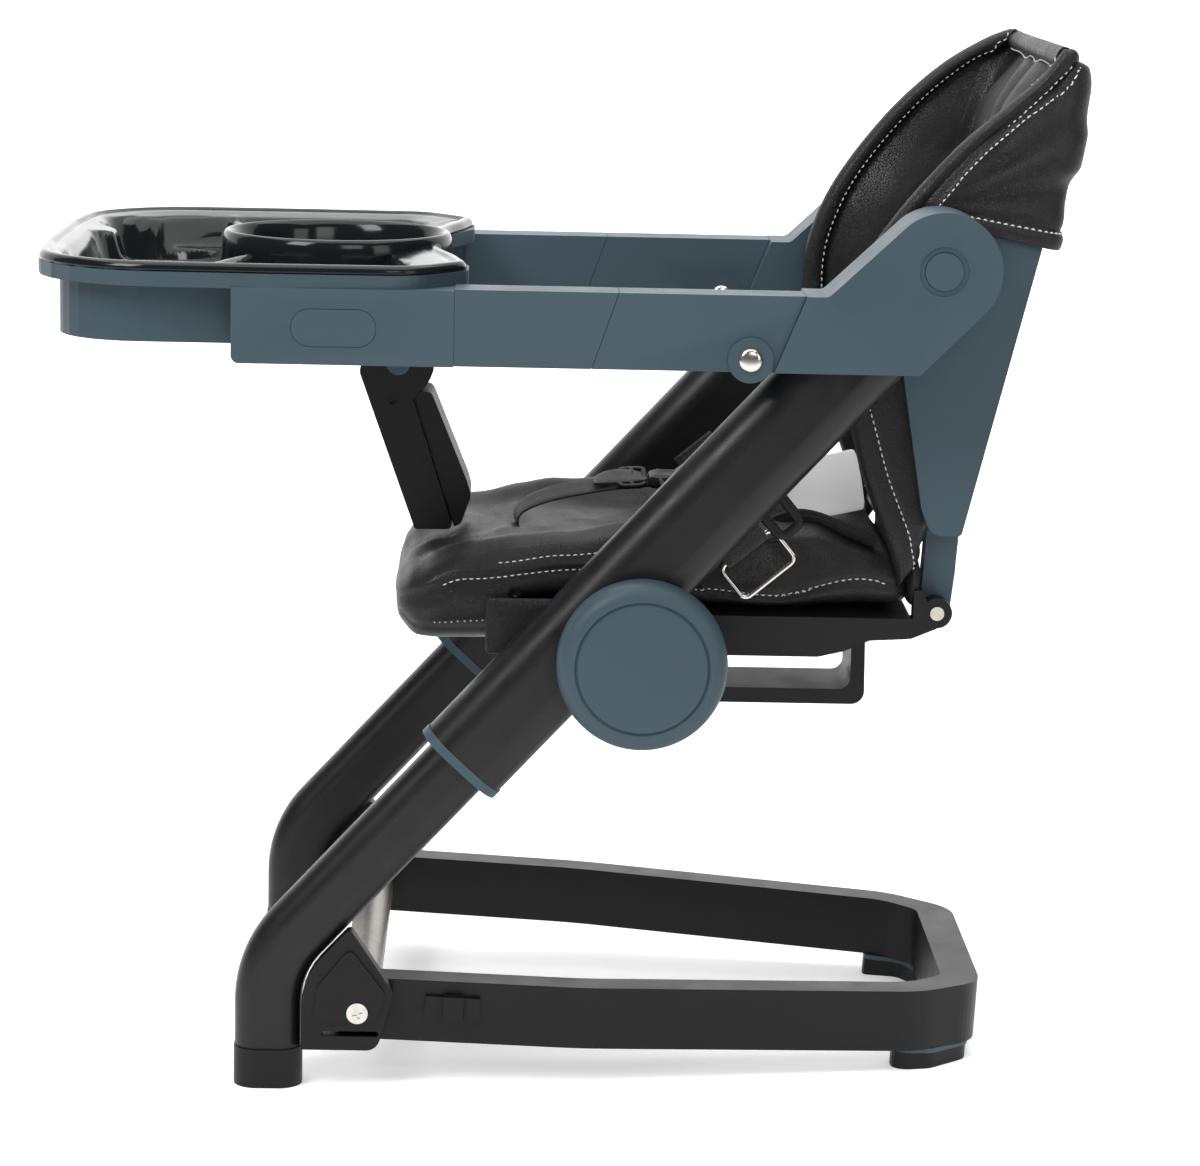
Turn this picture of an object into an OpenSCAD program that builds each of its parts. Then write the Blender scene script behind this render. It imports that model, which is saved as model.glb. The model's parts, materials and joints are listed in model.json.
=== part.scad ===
// Baby high chair: folding floor and booster seat, millimetres.
// The chair faces -Y, its rear is +Y, up is +Z, the child's left side is +X.

/* [Overall] */
// half width over the outer faces of the arms
arm_outer = 200; // [185:1:215]
// height of the arms' top face
arm_top = 530.5; // [500:0.5:560]
// height of one arm section
arm_h = 48.5; // [40:0.5:60]
// slope of the legs above the floor plane, degrees
leg_angle = 47.5; // [42:0.5:52]
// shift along Y that centres the chair over the origin
centre_y = 9.4; // [0:0.1:20]
// how far the legs telescope
height_travel = 80; // [0:5:100]

/* [Legs] */
// width of the lower leg tube across the chair
lower_leg_w = 32; // [26:1:36]
// depth of the lower leg tube in side view
lower_leg_d = 44; // [38:1:48]
// width of the upper leg tube across the chair
upper_leg_w = 42; // [38:1:48]
// depth of the upper leg tube in side view
upper_leg_d = 62; // [56:1:68]
// wall of the upper leg tube
leg_wall = 3; // [2:0.5:4]
// wall of the lower leg tube
lower_wall = 2.5; // [1.5:0.5:4]
// corner radius of the upper leg tube
upper_round = 20; // [10:0.5:20.5]
// corner radius of the lower leg tube
lower_round = 15; // [8:0.5:15.5]
// centre of both legs from the middle plane
leg_x = 164; // [160:1:180]
// bend radius of the lower leg's centre line
bend_r = 70; // [50:5:90]
// height of the front feet
foot_h = 26; // [20:1:32]

/* [Floor bar] */
// height of the bar's section
bar_h = 41.6; // [30:0.2:50]
// thickness of the bar's section
bar_t = 22; // [16:1:28]
// half width of the bar at its front ends
bar_front_x = 168; // [160:1:176]
// rear end of the bar
bar_rear_y = 288; // [260:1:300]
// downward slope of the bar toward the rear, degrees
bar_tilt = 2.55; // [0:0.05:4]

/* [Hub and hinges] */
// radius of the large hub cap
hub_r = 55; // [48:1:60]
// radius of the seat's axle in the hub
axle_r = 15; // [10:0.5:18]
// radial clearance of running fits
run_gap = 0.05; // [0.02:0.01:0.1]
// radius of the rear hinge pins
pin_r = 3; // [2:0.5:4]

/* [Seat] */
// half width of the seat base
seat_half = 132; // [125:1:138]
// height of the seat base's deck
deck_z = 312; // [300:1:320]
// half width of the seat pad
pad_half = 128; // [120:1:131]
// half width of the back shell
shell_half = 140; // [136:1:141]
// half width of the head hood
hood_half = 146; // [143:1:148]

/* [Tray] */
// front edge of the tray
tray_front_y = -348; // [-360:1:-320]
// underside of the tray's deep front tub
tub_z = 491; // [480:1:500]
// top of the tray's rim band
rim_z = 538; // [530:0.5:545]
// height of the glossy insert's flange
flange_h = 6; // [4:0.5:8]
// depth of the seat-side cut-out
belly_in = 24; // [10:1:50]

/* [Hidden] */
steel_blue = [0.30, 0.38, 0.42];
black = [0.06, 0.06, 0.065];
leather_black = [0.08, 0.08, 0.085];
metal = [0.75, 0.73, 0.70];
arm_bottom = arm_top - arm_h;
// lower end of the upper legs, on the legs' centre line
leg_y = -67.5;
leg_z = 217;
// centre of the hub, of the rear hinge, of the round arm button, of the bracket screw
hub = [49.5, 291];
rear_hinge = [244.6, 316];
arm_end = [233, 548];
bar_pivot = [-131, 52];
post_pivot = [-114, 461];
rivet = [113, 489.6];
upper_in = leg_x - upper_leg_w / 2;
upper_out = leg_x + upper_leg_w / 2;
flange_x = seat_half + 1;
back_inner = shell_half - 6;
rim_bottom = 528.5;
socket_front = -214;
socket_rear = -74;
button_top = 0.3;
boss_in = seat_half - 14.4;
tongue_in = boss_in - 20.6;
cap_t = 21;

// ---- helpers ----
function unit(v) = v / norm(v);
// points of the arc that rounds the corner at p
function corner_arc(a, p, b, r, n) =
    let (u = unit(a - p), v = unit(b - p), h = acos(u * v) / 2,
        c = p + unit(u + v) * r / sin(h), s = p + u * r / tan(h), e = p + v * r / tan(h),
        a0 = atan2(s.y - c.y, s.x - c.x), a1 = atan2(e.y - c.y, e.x - c.x),
        d = ((a1 - a0 + 540) % 360) - 180)
    [for (i = [0 : n]) c + r * [cos(a0 + d * i / n), sin(a0 + d * i / n)]];
// polygon points [x, y, corner radius] with every radius drawn as short chords
function rounded(p, n = 6) = [for (i = [0 : len(p) - 1])
    let (k = len(p), a = p[(i + k - 1) % k], q = p[i], b = p[(i + 1) % k])
    each (q[2] == 0 ? [[q.x, q.y]]
        : corner_arc([a.x, a.y], [q.x, q.y], [b.x, b.y], q[2], n))];
function mirrored(p) = concat(p, [for (i = [len(p) - 1 : -1 : 0]) [-p[i].x, p[i].y, p[i][2]]]);
// rectangle with true round corners, centred
module round_rect(w, h, r) {
    square([w - 2 * r, h], center = true);
    square([w, h - 2 * r], center = true);
    for (x = [-1, 1]) for (y = [-1, 1])
        translate([x * (w / 2 - r), y * (h / 2 - r)]) circle(r, $fn = 48);
}
// a side-view outline [y, z] given thickness from x0 to x1
module side(x0, x1) {
    translate([x0, 0, 0]) rotate([90, 0, 90]) linear_extrude(x1 - x0) children();
}
module x_cylinder(c, r, x0, x1) {
    translate([x0, c[0], c[1]]) rotate([0, 90, 0]) cylinder(h = x1 - x0, r = r, $fn = 64);
}
// frame whose +Z runs up along the leg, from the upper leg's lower end
module on_leg(t = 0) {
    translate([leg_x, leg_y, leg_z]) rotate([leg_angle - 90, 0, 0])
        translate([0, 0, t]) children();
}
module other_side() { mirror([1, 0, 0]) children(); }

// ---- leg frame, stands on the floor ----
lower_in = 150;
turn = 90 - leg_angle;
reach = bend_r * tan(turn / 2);
foot_y = -190;
knee_t = -(leg_y - foot_y) / cos(leg_angle);
knee_z = leg_z + knee_t * sin(leg_angle);
module leg_section() {
    difference() {
        round_rect(lower_leg_w, lower_leg_d, lower_round);
        round_rect(lower_leg_w - 2 * lower_wall, lower_leg_d - 2 * lower_wall,
            lower_round - lower_wall);
    }
}
module lower_leg() {
    on_leg(knee_t + reach) linear_extrude(lower_in - knee_t - reach) leg_section();
    translate([leg_x, foot_y + bend_r, knee_z - reach]) rotate([90, 0, -90])
        rotate_extrude(angle = turn, $fn = 96) translate([bend_r, 0])
            rotate(90) leg_section();
    translate([leg_x, foot_y, foot_h]) linear_extrude(knee_z - reach - foot_h) leg_section();
}
module front_foot() {
    translate([leg_x, foot_y, 0]) linear_extrude(foot_h)
        round_rect(lower_leg_w + 3, lower_leg_d + 1, lower_round + 0.5);
}
module cross_tube() {
    color([0.52, 0.50, 0.47]) difference() {
        x_cylinder(bar_pivot, 12.8, bar_t - bar_front_x + 1.4, bar_front_x - bar_t - 1.4);
        for (s = [-1, 1]) x_cylinder(bar_pivot, 5.02, s * 136 - 11, s * 136 + 11);
    }
}
bracket_x = leg_x + lower_leg_w / 2;
// the bracket lies in the inside of the leg's bend, a small gap away from the tube
bend_c = [foot_y + bend_r, knee_z - reach];
inner_r = bend_r - lower_leg_d / 2 - 0.3;
bracket_top = bend_c + inner_r * [cos(180 - turn), sin(180 - turn)]
    + 28 * [cos(leg_angle), sin(leg_angle)];
module base_bracket() {
    bend = [for (a = [180 - turn : 8.5 : 180]) bend_c + inner_r * [cos(a), sin(a)]];
    outline = rounded(concat([[bend_c.x - inner_r, 26.4, 0], [-118, 26.4, 9], [-107.5, 66, 6],
        [bracket_top.x, bracket_top.y, 3]], [for (p = bend) [p.x, p.y, 0]]));
    difference() {
        union() {
            side(bar_front_x + 0.6, bracket_x) polygon(outline);
            side(bracket_x, bracket_x + 1.6) polygon(rounded([[-160, 46, 3], [-119, 46, 6],
                [-113, 66, 5], [-136, 96, 4], [-157, 70, 5]]));
        }
        x_cylinder(bar_pivot, 5.02, 150, bracket_x + 3);
        x_cylinder(bar_pivot, 7.6, bracket_x - 1.2, bracket_x + 3);
        side(150, bracket_x + 3) translate([-136, 37.6]) round_rect(38, 3.6, 1.7);
    }
}
module bracket_screw() {
    difference() {
        union() {
            x_cylinder(bar_pivot, 4.97, 126, bracket_x - 1);
            x_cylinder(bar_pivot, 7, bracket_x - 1.1, bracket_x + 1.9);
        }
        for (a = [0, 90]) translate([bracket_x + 1.6, bar_pivot[0], bar_pivot[1]])
            rotate([a + 20, 0, 0]) cube([1.6, 1.6, 7], center = true);
    }
}

// ---- floor bar ----
module on_bar() {
    translate([0, bar_pivot[0], bar_pivot[1]]) rotate([-bar_tilt, 0, 0]) children();
}
// the bar's plan, measured from the bracket screw
rear = bar_rear_y - bar_pivot[0];
plan_out = [[bar_front_x, 0, 0], [bar_front_x - 5, 150, 260], [126, rear - 44, 60],
    [93, rear, 34]];
plan_in = [[bar_front_x - bar_t, 0, 0], [bar_front_x - 5 - bar_t, 146, 240],
    [126 - bar_t, rear - 50, 40], [83, rear - bar_t - 4, 18]];
module bar_plan() {
    difference() {
        polygon(rounded(mirrored(plan_out), 8));
        polygon(rounded(concat([[bar_front_x - bar_t, -5, 0]], [for (i = [1 : 3]) plan_in[i]],
            [for (i = [3 : -1 : 1]) [-plan_in[i].x, plan_in[i].y, plan_in[i][2]]],
            [[-bar_front_x + bar_t, -5, 0]]), 8));
    }
}
module floor_bar() {
    color(black) on_bar() difference() {
        union() {
            translate([0, 0, -bar_h / 2]) linear_extrude(bar_h) bar_plan();
            for (s = [-1, 1]) x_cylinder([0, 0], bar_h / 2,
                s * bar_front_x - (s > 0 ? bar_t : 0), s * bar_front_x + (s > 0 ? 0 : bar_t));
        }
        for (s = [-1, 1]) x_cylinder([0, 0], 4.97 + run_gap, s * 157 - 20, s * 157 + 20);
    }
}
module foot_plan(grow) {
    polygon(rounded([[123 + grow, 360, 10], [118 + grow, 386, 14], [94, 413 + grow, 16],
        [76, 413 + grow, 4], [76, 396 - grow, 4], [97 - grow, 384, 12], [102 - grow, 360, 4]]));
}
module foot_shim() {
    on_bar() translate([0, 0, -bar_h / 2 - 3]) linear_extrude(3) foot_plan(1);
}
module rear_foot() {
    difference() {
        on_bar() translate([0, 0, -bar_h / 2 - 25]) linear_extrude(22) foot_plan(0);
        translate([0, 200, -50]) cube([200, 200, 50]);
    }
}
module bar_clip() {
    on_bar() translate([bar_front_x - 1.4, 44, -3]) {
        cube([3.4, 36, 14]);
        translate([0, 12, -1]) cube([7, 13, 16]);
    }
}

// ---- upper frame, slides on the lower legs ----
module upper_leg() {
    cavity_w = upper_leg_w - 2 * leg_wall;
    cavity_d = upper_leg_d - 2 * leg_wall;
    difference() {
        on_leg(6) linear_extrude(420) round_rect(upper_leg_w, upper_leg_d, upper_round);
        on_leg(5) linear_extrude(425) round_rect(cavity_w, cavity_d, upper_round - leg_wall);
        translate([leg_x - 40, -100, arm_bottom]) cube([80, 500, 300]);
    }
}
module leg_collar() {
    on_leg() difference() {
        union() {
            linear_extrude(6) round_rect(upper_leg_w + 1.6, upper_leg_d + 1.6, upper_round + 0.8);
            translate([0, 0, 6]) linear_extrude(22)
                round_rect(upper_leg_w - 2 * leg_wall - 0.04, upper_leg_d - 2 * leg_wall - 0.04,
                    upper_round - leg_wall - 0.02);
        }
        translate([0, 0, -1]) linear_extrude(40)
            round_rect(lower_leg_w + 0.7, lower_leg_d + 0.7, lower_round + 0.35);
    }
}
module hub_housing() {
    difference() {
        union() {
            x_cylinder(hub, 46, flange_x, upper_in);
            intersection() {
                x_cylinder(hub, 50, upper_in, upper_out);
                on_leg(40) translate([-30, upper_leg_d / 2, 0]) cube([60, 100, 260]);
            }
        }
        x_cylinder(hub, axle_r + run_gap, flange_x - 1, flange_x + 9);
    }
}
module hub_cap() {
    difference() {
        union() {
            x_cylinder(hub, hub_r, upper_out, upper_out + cap_t);
            translate([upper_out + cap_t, hub[0], hub[1]]) rotate([0, 90, 0])
                cylinder(h = 3.5, r1 = hub_r, r2 = hub_r - 5, $fn = 64);
        }
        translate([upper_out + cap_t + 2.3, hub[0], hub[1]]) rotate([0, 90, 0])
            rotate_extrude($fn = 64) translate([42, 0]) square([1.6, 3]);
    }
}
module rear_arm() {
    n = [sin(leg_angle), -cos(leg_angle)];
    low = arm_end + 37 * n;
    high = arm_end - 37 * n;
    difference() {
        union() {
            side(leg_x - 12, arm_outer + 3) polygon(rounded([[128, arm_bottom, 0],
                [220, arm_bottom, 3], [low.x, low.y, 0], [arm_end[0], arm_end[1], 0],
                [high.x, high.y, 0], [161, arm_top, 6], [147.4, arm_top, 0]]));
            x_cylinder(arm_end, 37, leg_x - 12, arm_outer + 3);
        }
        x_cylinder(arm_end, 12.3, arm_outer - 6, arm_outer + 4);
        x_cylinder(arm_end, 15.6, arm_outer + 2.2, arm_outer + 4);
    }
}
module middle_arm() {
    difference() {
        union() {
            side(arm_outer - 32, arm_outer) polygon([[29.6, arm_top], [147, arm_top],
                [127.6, arm_bottom], [13.2, arm_bottom]]);
            x_cylinder(rivet, 14.5, arm_outer - 33.2, arm_outer + 1.2);
        }
        x_cylinder(rivet, 7.04, arm_outer - 40, arm_outer + 3);
        side(arm_outer - 40, arm_outer + 3)
            polygon([[127.6, arm_bottom], [147, arm_top], [200, arm_top], [200, 440], [127.6, 440]]);
    }
}
module front_arm() {
    side(arm_outer - 32, arm_outer) polygon([[socket_rear + 0.2, arm_top], [29.2, arm_top],
        [12.8, arm_bottom], [socket_rear + 0.2, arm_bottom]]);
    side(174, 188) polygon(rounded([[-140, 491, 6], [-140, 521, 6], [socket_rear + 2, 521, 0],
        [socket_rear + 2, 491, 0]]));
}
module arm_rivet() {
    x_cylinder(rivet, 7, arm_outer - 34.4, arm_outer + 2.4);
    for (end = [[arm_outer + 2.4, 90], [arm_outer - 34.4, -90]])
        translate([end[0], rivet[0], rivet[1]]) rotate([0, end[1], 0])
            cylinder(h = 1.2, r1 = 7, r2 = 4.6, $fn = 48);
}
module back_button() { x_cylinder(arm_end, 12, arm_outer - 2.2, arm_outer + 3.4); }

// ---- seat ----
module seat_base() {
    body = rounded([[-32, 285.5, 5], [167, 285.5, 8], [184, 289.5, 8], [201, 297, 8], [228, 298.5, 3],
        [228, deck_z, 0], [-32, deck_z, 2]]);
    color(black) difference() {
        union() {
            difference() {
                side(-seat_half, seat_half) polygon(body);
                side(-seat_half + 4, seat_half - 4) polygon([[-28, 280], [224, 280],
                    [224, deck_z - 3.5], [-28, deck_z - 3.5]]);
            }
            for (s = [-1, 1]) {
                x0 = s > 0 ? boss_in : -seat_half;
                side(x0, x0 + seat_half - boss_in) polygon(rounded([[196, 300, 0], [228, 298.6, 0],
                    [246, 306.2, 3], [rear_hinge[0], rear_hinge[1], 0], [238, 324, 2],
                    [234, 331, 3], [229, 331, 0], [229, deck_z, 0], [196, deck_z - 3, 0]]));
                x_cylinder(rear_hinge, 10, x0, x0 + seat_half - boss_in);
                x_cylinder(hub, 27, s > 0 ? seat_half - 11 : -seat_half,
                    s > 0 ? seat_half : 11 - seat_half);
                x_cylinder(hub, axle_r, s > 0 ? seat_half - 1 : -seat_half - 9,
                    s > 0 ? seat_half + 9 : 1 - seat_half);
            }
        }
        side(11.1 - seat_half, seat_half - 11.1) polygon([[0, 255], [100, 255], [100, 285.5],
            [0, 285.5]]);
        translate([-140, 0, deck_z]) cube([280, 110, 20]);
        for (s = [-1, 1]) x_cylinder(rear_hinge, pin_r + 0.02, s * 125 - 12, s * 125 + 12);
    }
}
module hinge_pin() {
    x_cylinder(rear_hinge, pin_r, tongue_in - 2, seat_half + 0.4);
    x_cylinder(rear_hinge, 4.6, seat_half, seat_half + 1.4);
}
module carry_handle() {
    color(black) difference() {
        side(-34, 34) polygon(rounded([[86, 285.4, 0], [86, 232.5, 12], [208, 232.5, 9],
            [207, 296.9, 0], [201.4, 296.9, 0], [184, 289.4, 0], [167, 285.4, 0]]));
        side(-40, 40) polygon(rounded([[98, 275, 8], [98, 243, 8], [198, 243, 8], [198, 281, 8],
            [160, 275, 10]]));
    }
}
module seat_pad() {
    color(leather_black) union() {
        side(-pad_half, pad_half) polygon(rounded([[-74, 282.5, 14], [-36, 282.5, 6],
            [-33, 312.4, 0], [228, 312.4, 3], [228, 337, 5], [203, 337, 6], [188, 351, 10],
            [60, 350, 40], [-20, 350, 60], [-80, 342, 30], [-108, 328, 12], [-109, 296, 16]]));
        for (s = [-1, 1]) side(s > 0 ? pad_half - 26 : -pad_half, s > 0 ? pad_half : -pad_half + 26)
            polygon(rounded([[-84, 330, 0], [-70, 352, 14], [-2, 359, 80], [55, 370, 60],
                [120, 381, 60], [166, 380, 14], [186, 344, 0], [186, 330, 0]]));
    }
}
module crotch_strap() {
    color(black) side(-12.5, 12.5) polygon(rounded([[-34, 349.4, 0], [-32, 354, 4],
        [-6, 372, 26], [30, 379.5, 60], [52, 381.4, 0], [52, 379.6, 0], [30, 377.5, 60],
        [-4, 369.5, 26], [-27, 354, 3], [-27, 350.4, 0]]));
}
module harness_buckle() {
    color(black) translate([0, 62, 380.5]) rotate([3, 0, 0]) linear_extrude(9, center = true)
        round_rect(34, 20, 5);
}
// a waist strap runs from the buckle to the seat's rear corner
module waist_strap() {
    hull() {
        translate([17.2, 56, 370]) cube([1, 2.2, 20]);
        translate([99.6, 165, 362]) cube([1.4, 2.2, 20]);
    }
}
module care_label() {
    color([0.93, 0.93, 0.92]) translate([60, 172, 374]) rotate([8, 0, 0])
        translate([-0.6, -22, -18.6]) cube([1.2, 44, 45.6]);
}
ring_c = [126, 347];
module on_ring() {
    translate([pad_half + 5, ring_c[0], ring_c[1]]) rotate([40, 0, 0]) children();
}
module lap_ring() {
    on_ring() rotate([0, 90, 0]) linear_extrude(4, center = true) difference() {
        round_rect(29, 46, 6);
        round_rect(22, 39, 3);
    }
}
module lap_strap() {
    on_ring() {
        translate([-2.6, -15, 14.6]) cube([5.2, 30, 3]);
        for (x = [-2.6, 2.6]) translate([x < 0 ? -4.6 : 2.4, -15, 2]) cube([0.8, 30, 44]);
        translate([-2.5, -17.5, 24]) cube([5, 35, 16]);
    }
}

// ---- back ----
module back_shell() {
    wing = rounded([[257.6, 369, 3], [302, 556, 60], [308, 588, 4], [286, 590, 10],
        [240, 560, 20], [219, 520, 40], [216, 474, 30], [231, 386, 30], [238, 369, 10]]);
    color(steel_blue) difference() {
        union() {
            difference() {
                side(-shell_half, shell_half) polygon(wing);
                side(-back_inner, back_inner) polygon([[251.6, 360], [296, 556], [304, 600],
                    [200, 640], [190, 400], [230, 360]]);
            }
            for (s = [-1, 1]) {
                x0 = s > 0 ? tongue_in : -tongue_in - 19.6;
                side(x0, x0 + 19.6) polygon(rounded([[238, 376, 2], [236, 340, 12],
                    [rear_hinge[0] - 9.9, rear_hinge[1], 0], [rear_hinge[0] + 9.9, rear_hinge[1], 0],
                    [257, 340, 12], [259.5, 378, 2]]));
                x_cylinder(rear_hinge, 10, x0, x0 + 19.6);
            }
        }
        for (s = [-1, 1]) x_cylinder(rear_hinge, pin_r + run_gap, s * (tongue_in + 10) - 15,
            s * (tongue_in + 10) + 15);
    }
}
module back_pad() {
    color(leather_black) union() {
        side(-back_inner + 0.6, back_inner - 0.6) polygon(rounded([[222, 358, 5], [233, 357, 3],
            [237, 379, 0], [252.6, 379, 2], [294.9, 556, 0], [264, 556, 0]]));
        for (s = [-1, 1]) {
            x0 = s > 0 ? 104 : -back_inner + 0.6;
            side(x0, x0 + back_inner - 104.6) polygon(rounded([[226, 358, 0], [237, 379, 0],
                [290, 540, 0], [290, 556, 0], [180, 556, 0], [169, 531, 14], [167, 494, 20],
                [181, 437, 30], [200, 396, 20]]));
        }
    }
}
module head_hood() {
    color(leather_black) difference() {
        side(-hood_half, hood_half) polygon(rounded([[313.5, 557, 4], [329, 640, 24],
            [330, 678, 10], [306, 691, 10], [292, 678, 14], [260, 658, 60], [236, 638, 60],
            [212, 609, 60], [193, 585, 60], [180.4, 557, 0]]));
        side(-112, 112) polygon(rounded([[150, 540, 0], [266, 540, 0], [282, 610, 60],
            [298, 676, 0], [298, 720, 0], [150, 720, 0]]));
        // room for the back shell's top
        side(-shell_half - 0.6, shell_half + 0.6) polygon([[236, 540], [309.6, 540],
            [309.6, 589.5], [284, 592], [236, 562]]);
        for (s = [-1, 1]) side(s > 0 ? shell_half - 7 : -hood_half - 1,
            s > 0 ? hood_half + 1 : 7 - shell_half) polygon([[170, 540], [237, 540], [237, 562],
            [225, 575], [210, 620], [170, 620]]);
    }
}

// ---- tray ----
outline = [[70, tray_front_y, 160], [196, tray_front_y + 10, 84], [arm_outer, -190, 80],
    [arm_outer - 2, -100, 40], [158, -66, 18], [124, -66, 20], [74, -61 - belly_in, 60]];
module tray_plan(inset) {
    k = (arm_outer - inset) / arm_outer;
    mid = (tray_front_y - 61) / 2;
    k2 = (141 - inset) / 141;
    polygon(rounded(mirrored([for (p = outline) [p.x * k, mid + (p.y - mid) * k2, p[2] * k2]])));
}
module tub_plan(inset) {
    polygon(rounded(mirrored([[176 - inset, -330 + inset, 56 - inset],
        [176 - inset, -196 - inset, 8]]), 8));
}
bowl_c = [0, -157];
// the two wells of the front recess: [centre x, width]
wells = [[-104, 82], [56, 220]];
module well_plan(inset) {
    for (w = wells) translate([w[0], -283]) round_rect(w[1] - 2 * inset, 74 - 2 * inset,
        36 - inset);
}
module tray() {
    color(steel_blue) difference() {
        union() {
            translate([0, 0, rim_bottom]) linear_extrude(rim_z - rim_bottom) tray_plan(0);
            translate([0, 0, tub_z]) linear_extrude(rim_bottom - tub_z) tub_plan(0);
            translate([0, 0, 511.5]) linear_extrude(rim_bottom - 511.5) tray_plan(30);
            translate([bowl_c[0], bowl_c[1], 500]) cylinder(h = 20, r = 82, $fn = 96);
            for (s = [-1, 1]) side(s > 0 ? 166 : -arm_outer, s > 0 ? arm_outer : -166)
                polygon(rounded([[socket_front, 481.4, 5], [socket_rear, 481.4, 0],
                    [socket_rear, rim_bottom + 1, 0], [socket_front, rim_bottom + 1, 0]]));
            for (s = [-1, 1]) side(s > 0 ? 10.5 : -18.5, s > 0 ? 18.5 : -10.5) union() {
                polygon([[-134, 461], [-94, 461], [-86, 514], [-144, 514]]);
                translate(post_pivot) circle(20, $fn = 64);
            }
        }
        translate([0, 0, tub_z + 3.5]) linear_extrude(80) tub_plan(4);
        translate([0, 0, 515]) linear_extrude(80) tray_plan(33);
        translate([bowl_c[0], bowl_c[1], 503.5]) cylinder(h = 80, r = 78, $fn = 96);
        for (s = [-1, 1]) {
            side(s > 0 ? 173.5 : -188.5, s > 0 ? 188.5 : -173.5) polygon([[-205, 490.5],
                [socket_rear + 1, 490.5], [socket_rear + 1, 521.5], [-205, 521.5]]);
            side(s > 0 ? 191 : -arm_outer - 2, s > 0 ? arm_outer + 2 : -191)
                translate([-149.7, 504.8]) round_rect(53.8, 24, 11.9);
            x_cylinder(post_pivot, 5 + run_gap, s * 14 - 8, s * 14 + 8);
        }
    }
}
module tray_insert() {
    color(black) difference() {
        union() {
            translate([0, 0, rim_z + 0.1]) linear_extrude(flange_h) tray_plan(3);
            translate([0, 0, 515.5]) linear_extrude(rim_z + 1 - 515.5) tray_plan(34);
            translate([0, 0, tub_z + 4]) linear_extrude(520 - tub_z - 4) tub_plan(5);
            translate([bowl_c[0], bowl_c[1], 504]) cylinder(h = 44, r = 77, $fn = 96);
        }
        difference() {
            translate([0, 0, 518]) linear_extrude(80) tray_plan(37);
            translate([bowl_c[0], bowl_c[1], 500]) cylinder(h = 48, r = 75, $fn = 96);
            // ridges from the bowl's ring to the rim
            for (s = [-1, 1]) translate([s * 115, -226, 510]) rotate([0, 0, s * 12])
                cube([110, 6, 54], center = true);
        }
        translate([0, 0, tub_z + 6.5]) linear_extrude(80) well_plan(0);
        translate([bowl_c[0], bowl_c[1], 507]) cylinder(h = 80, r = 68, $fn = 96);
    }
}
module tray_button() {
    side(195, arm_outer + button_top) translate([-149.7, 504.8]) round_rect(53.2, 23.4, 11.6);
}

// ---- crotch post ----
module crotch_post() {
    color(black) difference() {
        union() {
            side(-27, 27) polygon(rounded([[-140.5, 455, 10], [-101.6, 347.5, 3], [-75.5, 348, 3],
                [-103.5, 436, 0], [-90, 456, 4], [-92, 470, 6], [-136, 470, 6]]));
            x_cylinder(post_pivot, 24, -27, 27);
        }
        // slot for the tray's two lugs
        side(-19.2, 19.2) translate(post_pivot) circle(31, $fn = 64);
        x_cylinder([-118, 436], 3, 25.5, 30);
    }
    color(black) x_cylinder(post_pivot, 5, -22, 22);
}
module post_pad() {
    color(black) side(-24, 24) polygon(rounded([[-103.1, 436.2, 0], [-99, 442, 4],
        [-91.4, 441, 5], [-66.6, 381, 16], [-63.5, 371, 10], [-70.5, 350.5, 6], [-75, 349.4, 0]]));
}
module post_cap() { x_cylinder(post_pivot, 8, 27, 29); }

module placed() { translate([0, centre_y, 0]) children(); }

placed() color(black) lower_leg();  // lower_leg_left
placed() color(black) other_side() lower_leg();  // lower_leg_right
placed() color(black) front_foot();  // front_foot_left
placed() color(black) other_side() front_foot();  // front_foot_right
placed() cross_tube();
placed() color(black) base_bracket();  // base_bracket_left
placed() color(black) other_side() base_bracket();  // base_bracket_right
placed() color(metal) bracket_screw();  // bracket_screw_left
placed() color(metal) other_side() bracket_screw();  // bracket_screw_right
placed() floor_bar();
placed() color(black) rear_foot();  // rear_foot_left
placed() color(black) other_side() rear_foot();  // rear_foot_right
placed() color(steel_blue) foot_shim();  // foot_shim_left
placed() color(steel_blue) other_side() foot_shim();  // foot_shim_right
placed() color(black) bar_clip();  // bar_clip_left
placed() color(black) other_side() bar_clip();  // bar_clip_right
placed() color(black) upper_leg();  // upper_leg_left
placed() color(black) other_side() upper_leg();  // upper_leg_right
placed() color(steel_blue) leg_collar();  // leg_collar_left
placed() color(steel_blue) other_side() leg_collar();  // leg_collar_right
placed() color(black) hub_housing();  // hub_housing_left
placed() color(black) other_side() hub_housing();  // hub_housing_right
placed() color(steel_blue) hub_cap();  // hub_cap_left
placed() color(steel_blue) other_side() hub_cap();  // hub_cap_right
placed() color(steel_blue) rear_arm();  // rear_arm_left
placed() color(steel_blue) other_side() rear_arm();  // rear_arm_right
placed() color(steel_blue) middle_arm();  // middle_arm_left
placed() color(steel_blue) other_side() middle_arm();  // middle_arm_right
placed() color(steel_blue) front_arm();  // front_arm_left
placed() color(steel_blue) other_side() front_arm();  // front_arm_right
placed() color(metal) arm_rivet();  // arm_rivet_left
placed() color(metal) other_side() arm_rivet();  // arm_rivet_right
placed() seat_base();
placed() carry_handle();
placed() color(metal) hinge_pin();  // hinge_pin_left
placed() color(metal) other_side() hinge_pin();  // hinge_pin_right
placed() seat_pad();
placed() crotch_strap();
placed() harness_buckle();
placed() color(black) waist_strap();  // waist_strap_left
placed() color(black) other_side() waist_strap();  // waist_strap_right
placed() care_label();
placed() color(black) lap_strap();  // lap_strap_left
placed() color(black) other_side() lap_strap();  // lap_strap_right
placed() color(metal) lap_ring();  // lap_ring_left
placed() color(metal) other_side() lap_ring();  // lap_ring_right
placed() back_shell();
placed() back_pad();
placed() head_hood();
placed() tray();
placed() tray_insert();
placed() color(steel_blue) tray_button();  // tray_button_left
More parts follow.
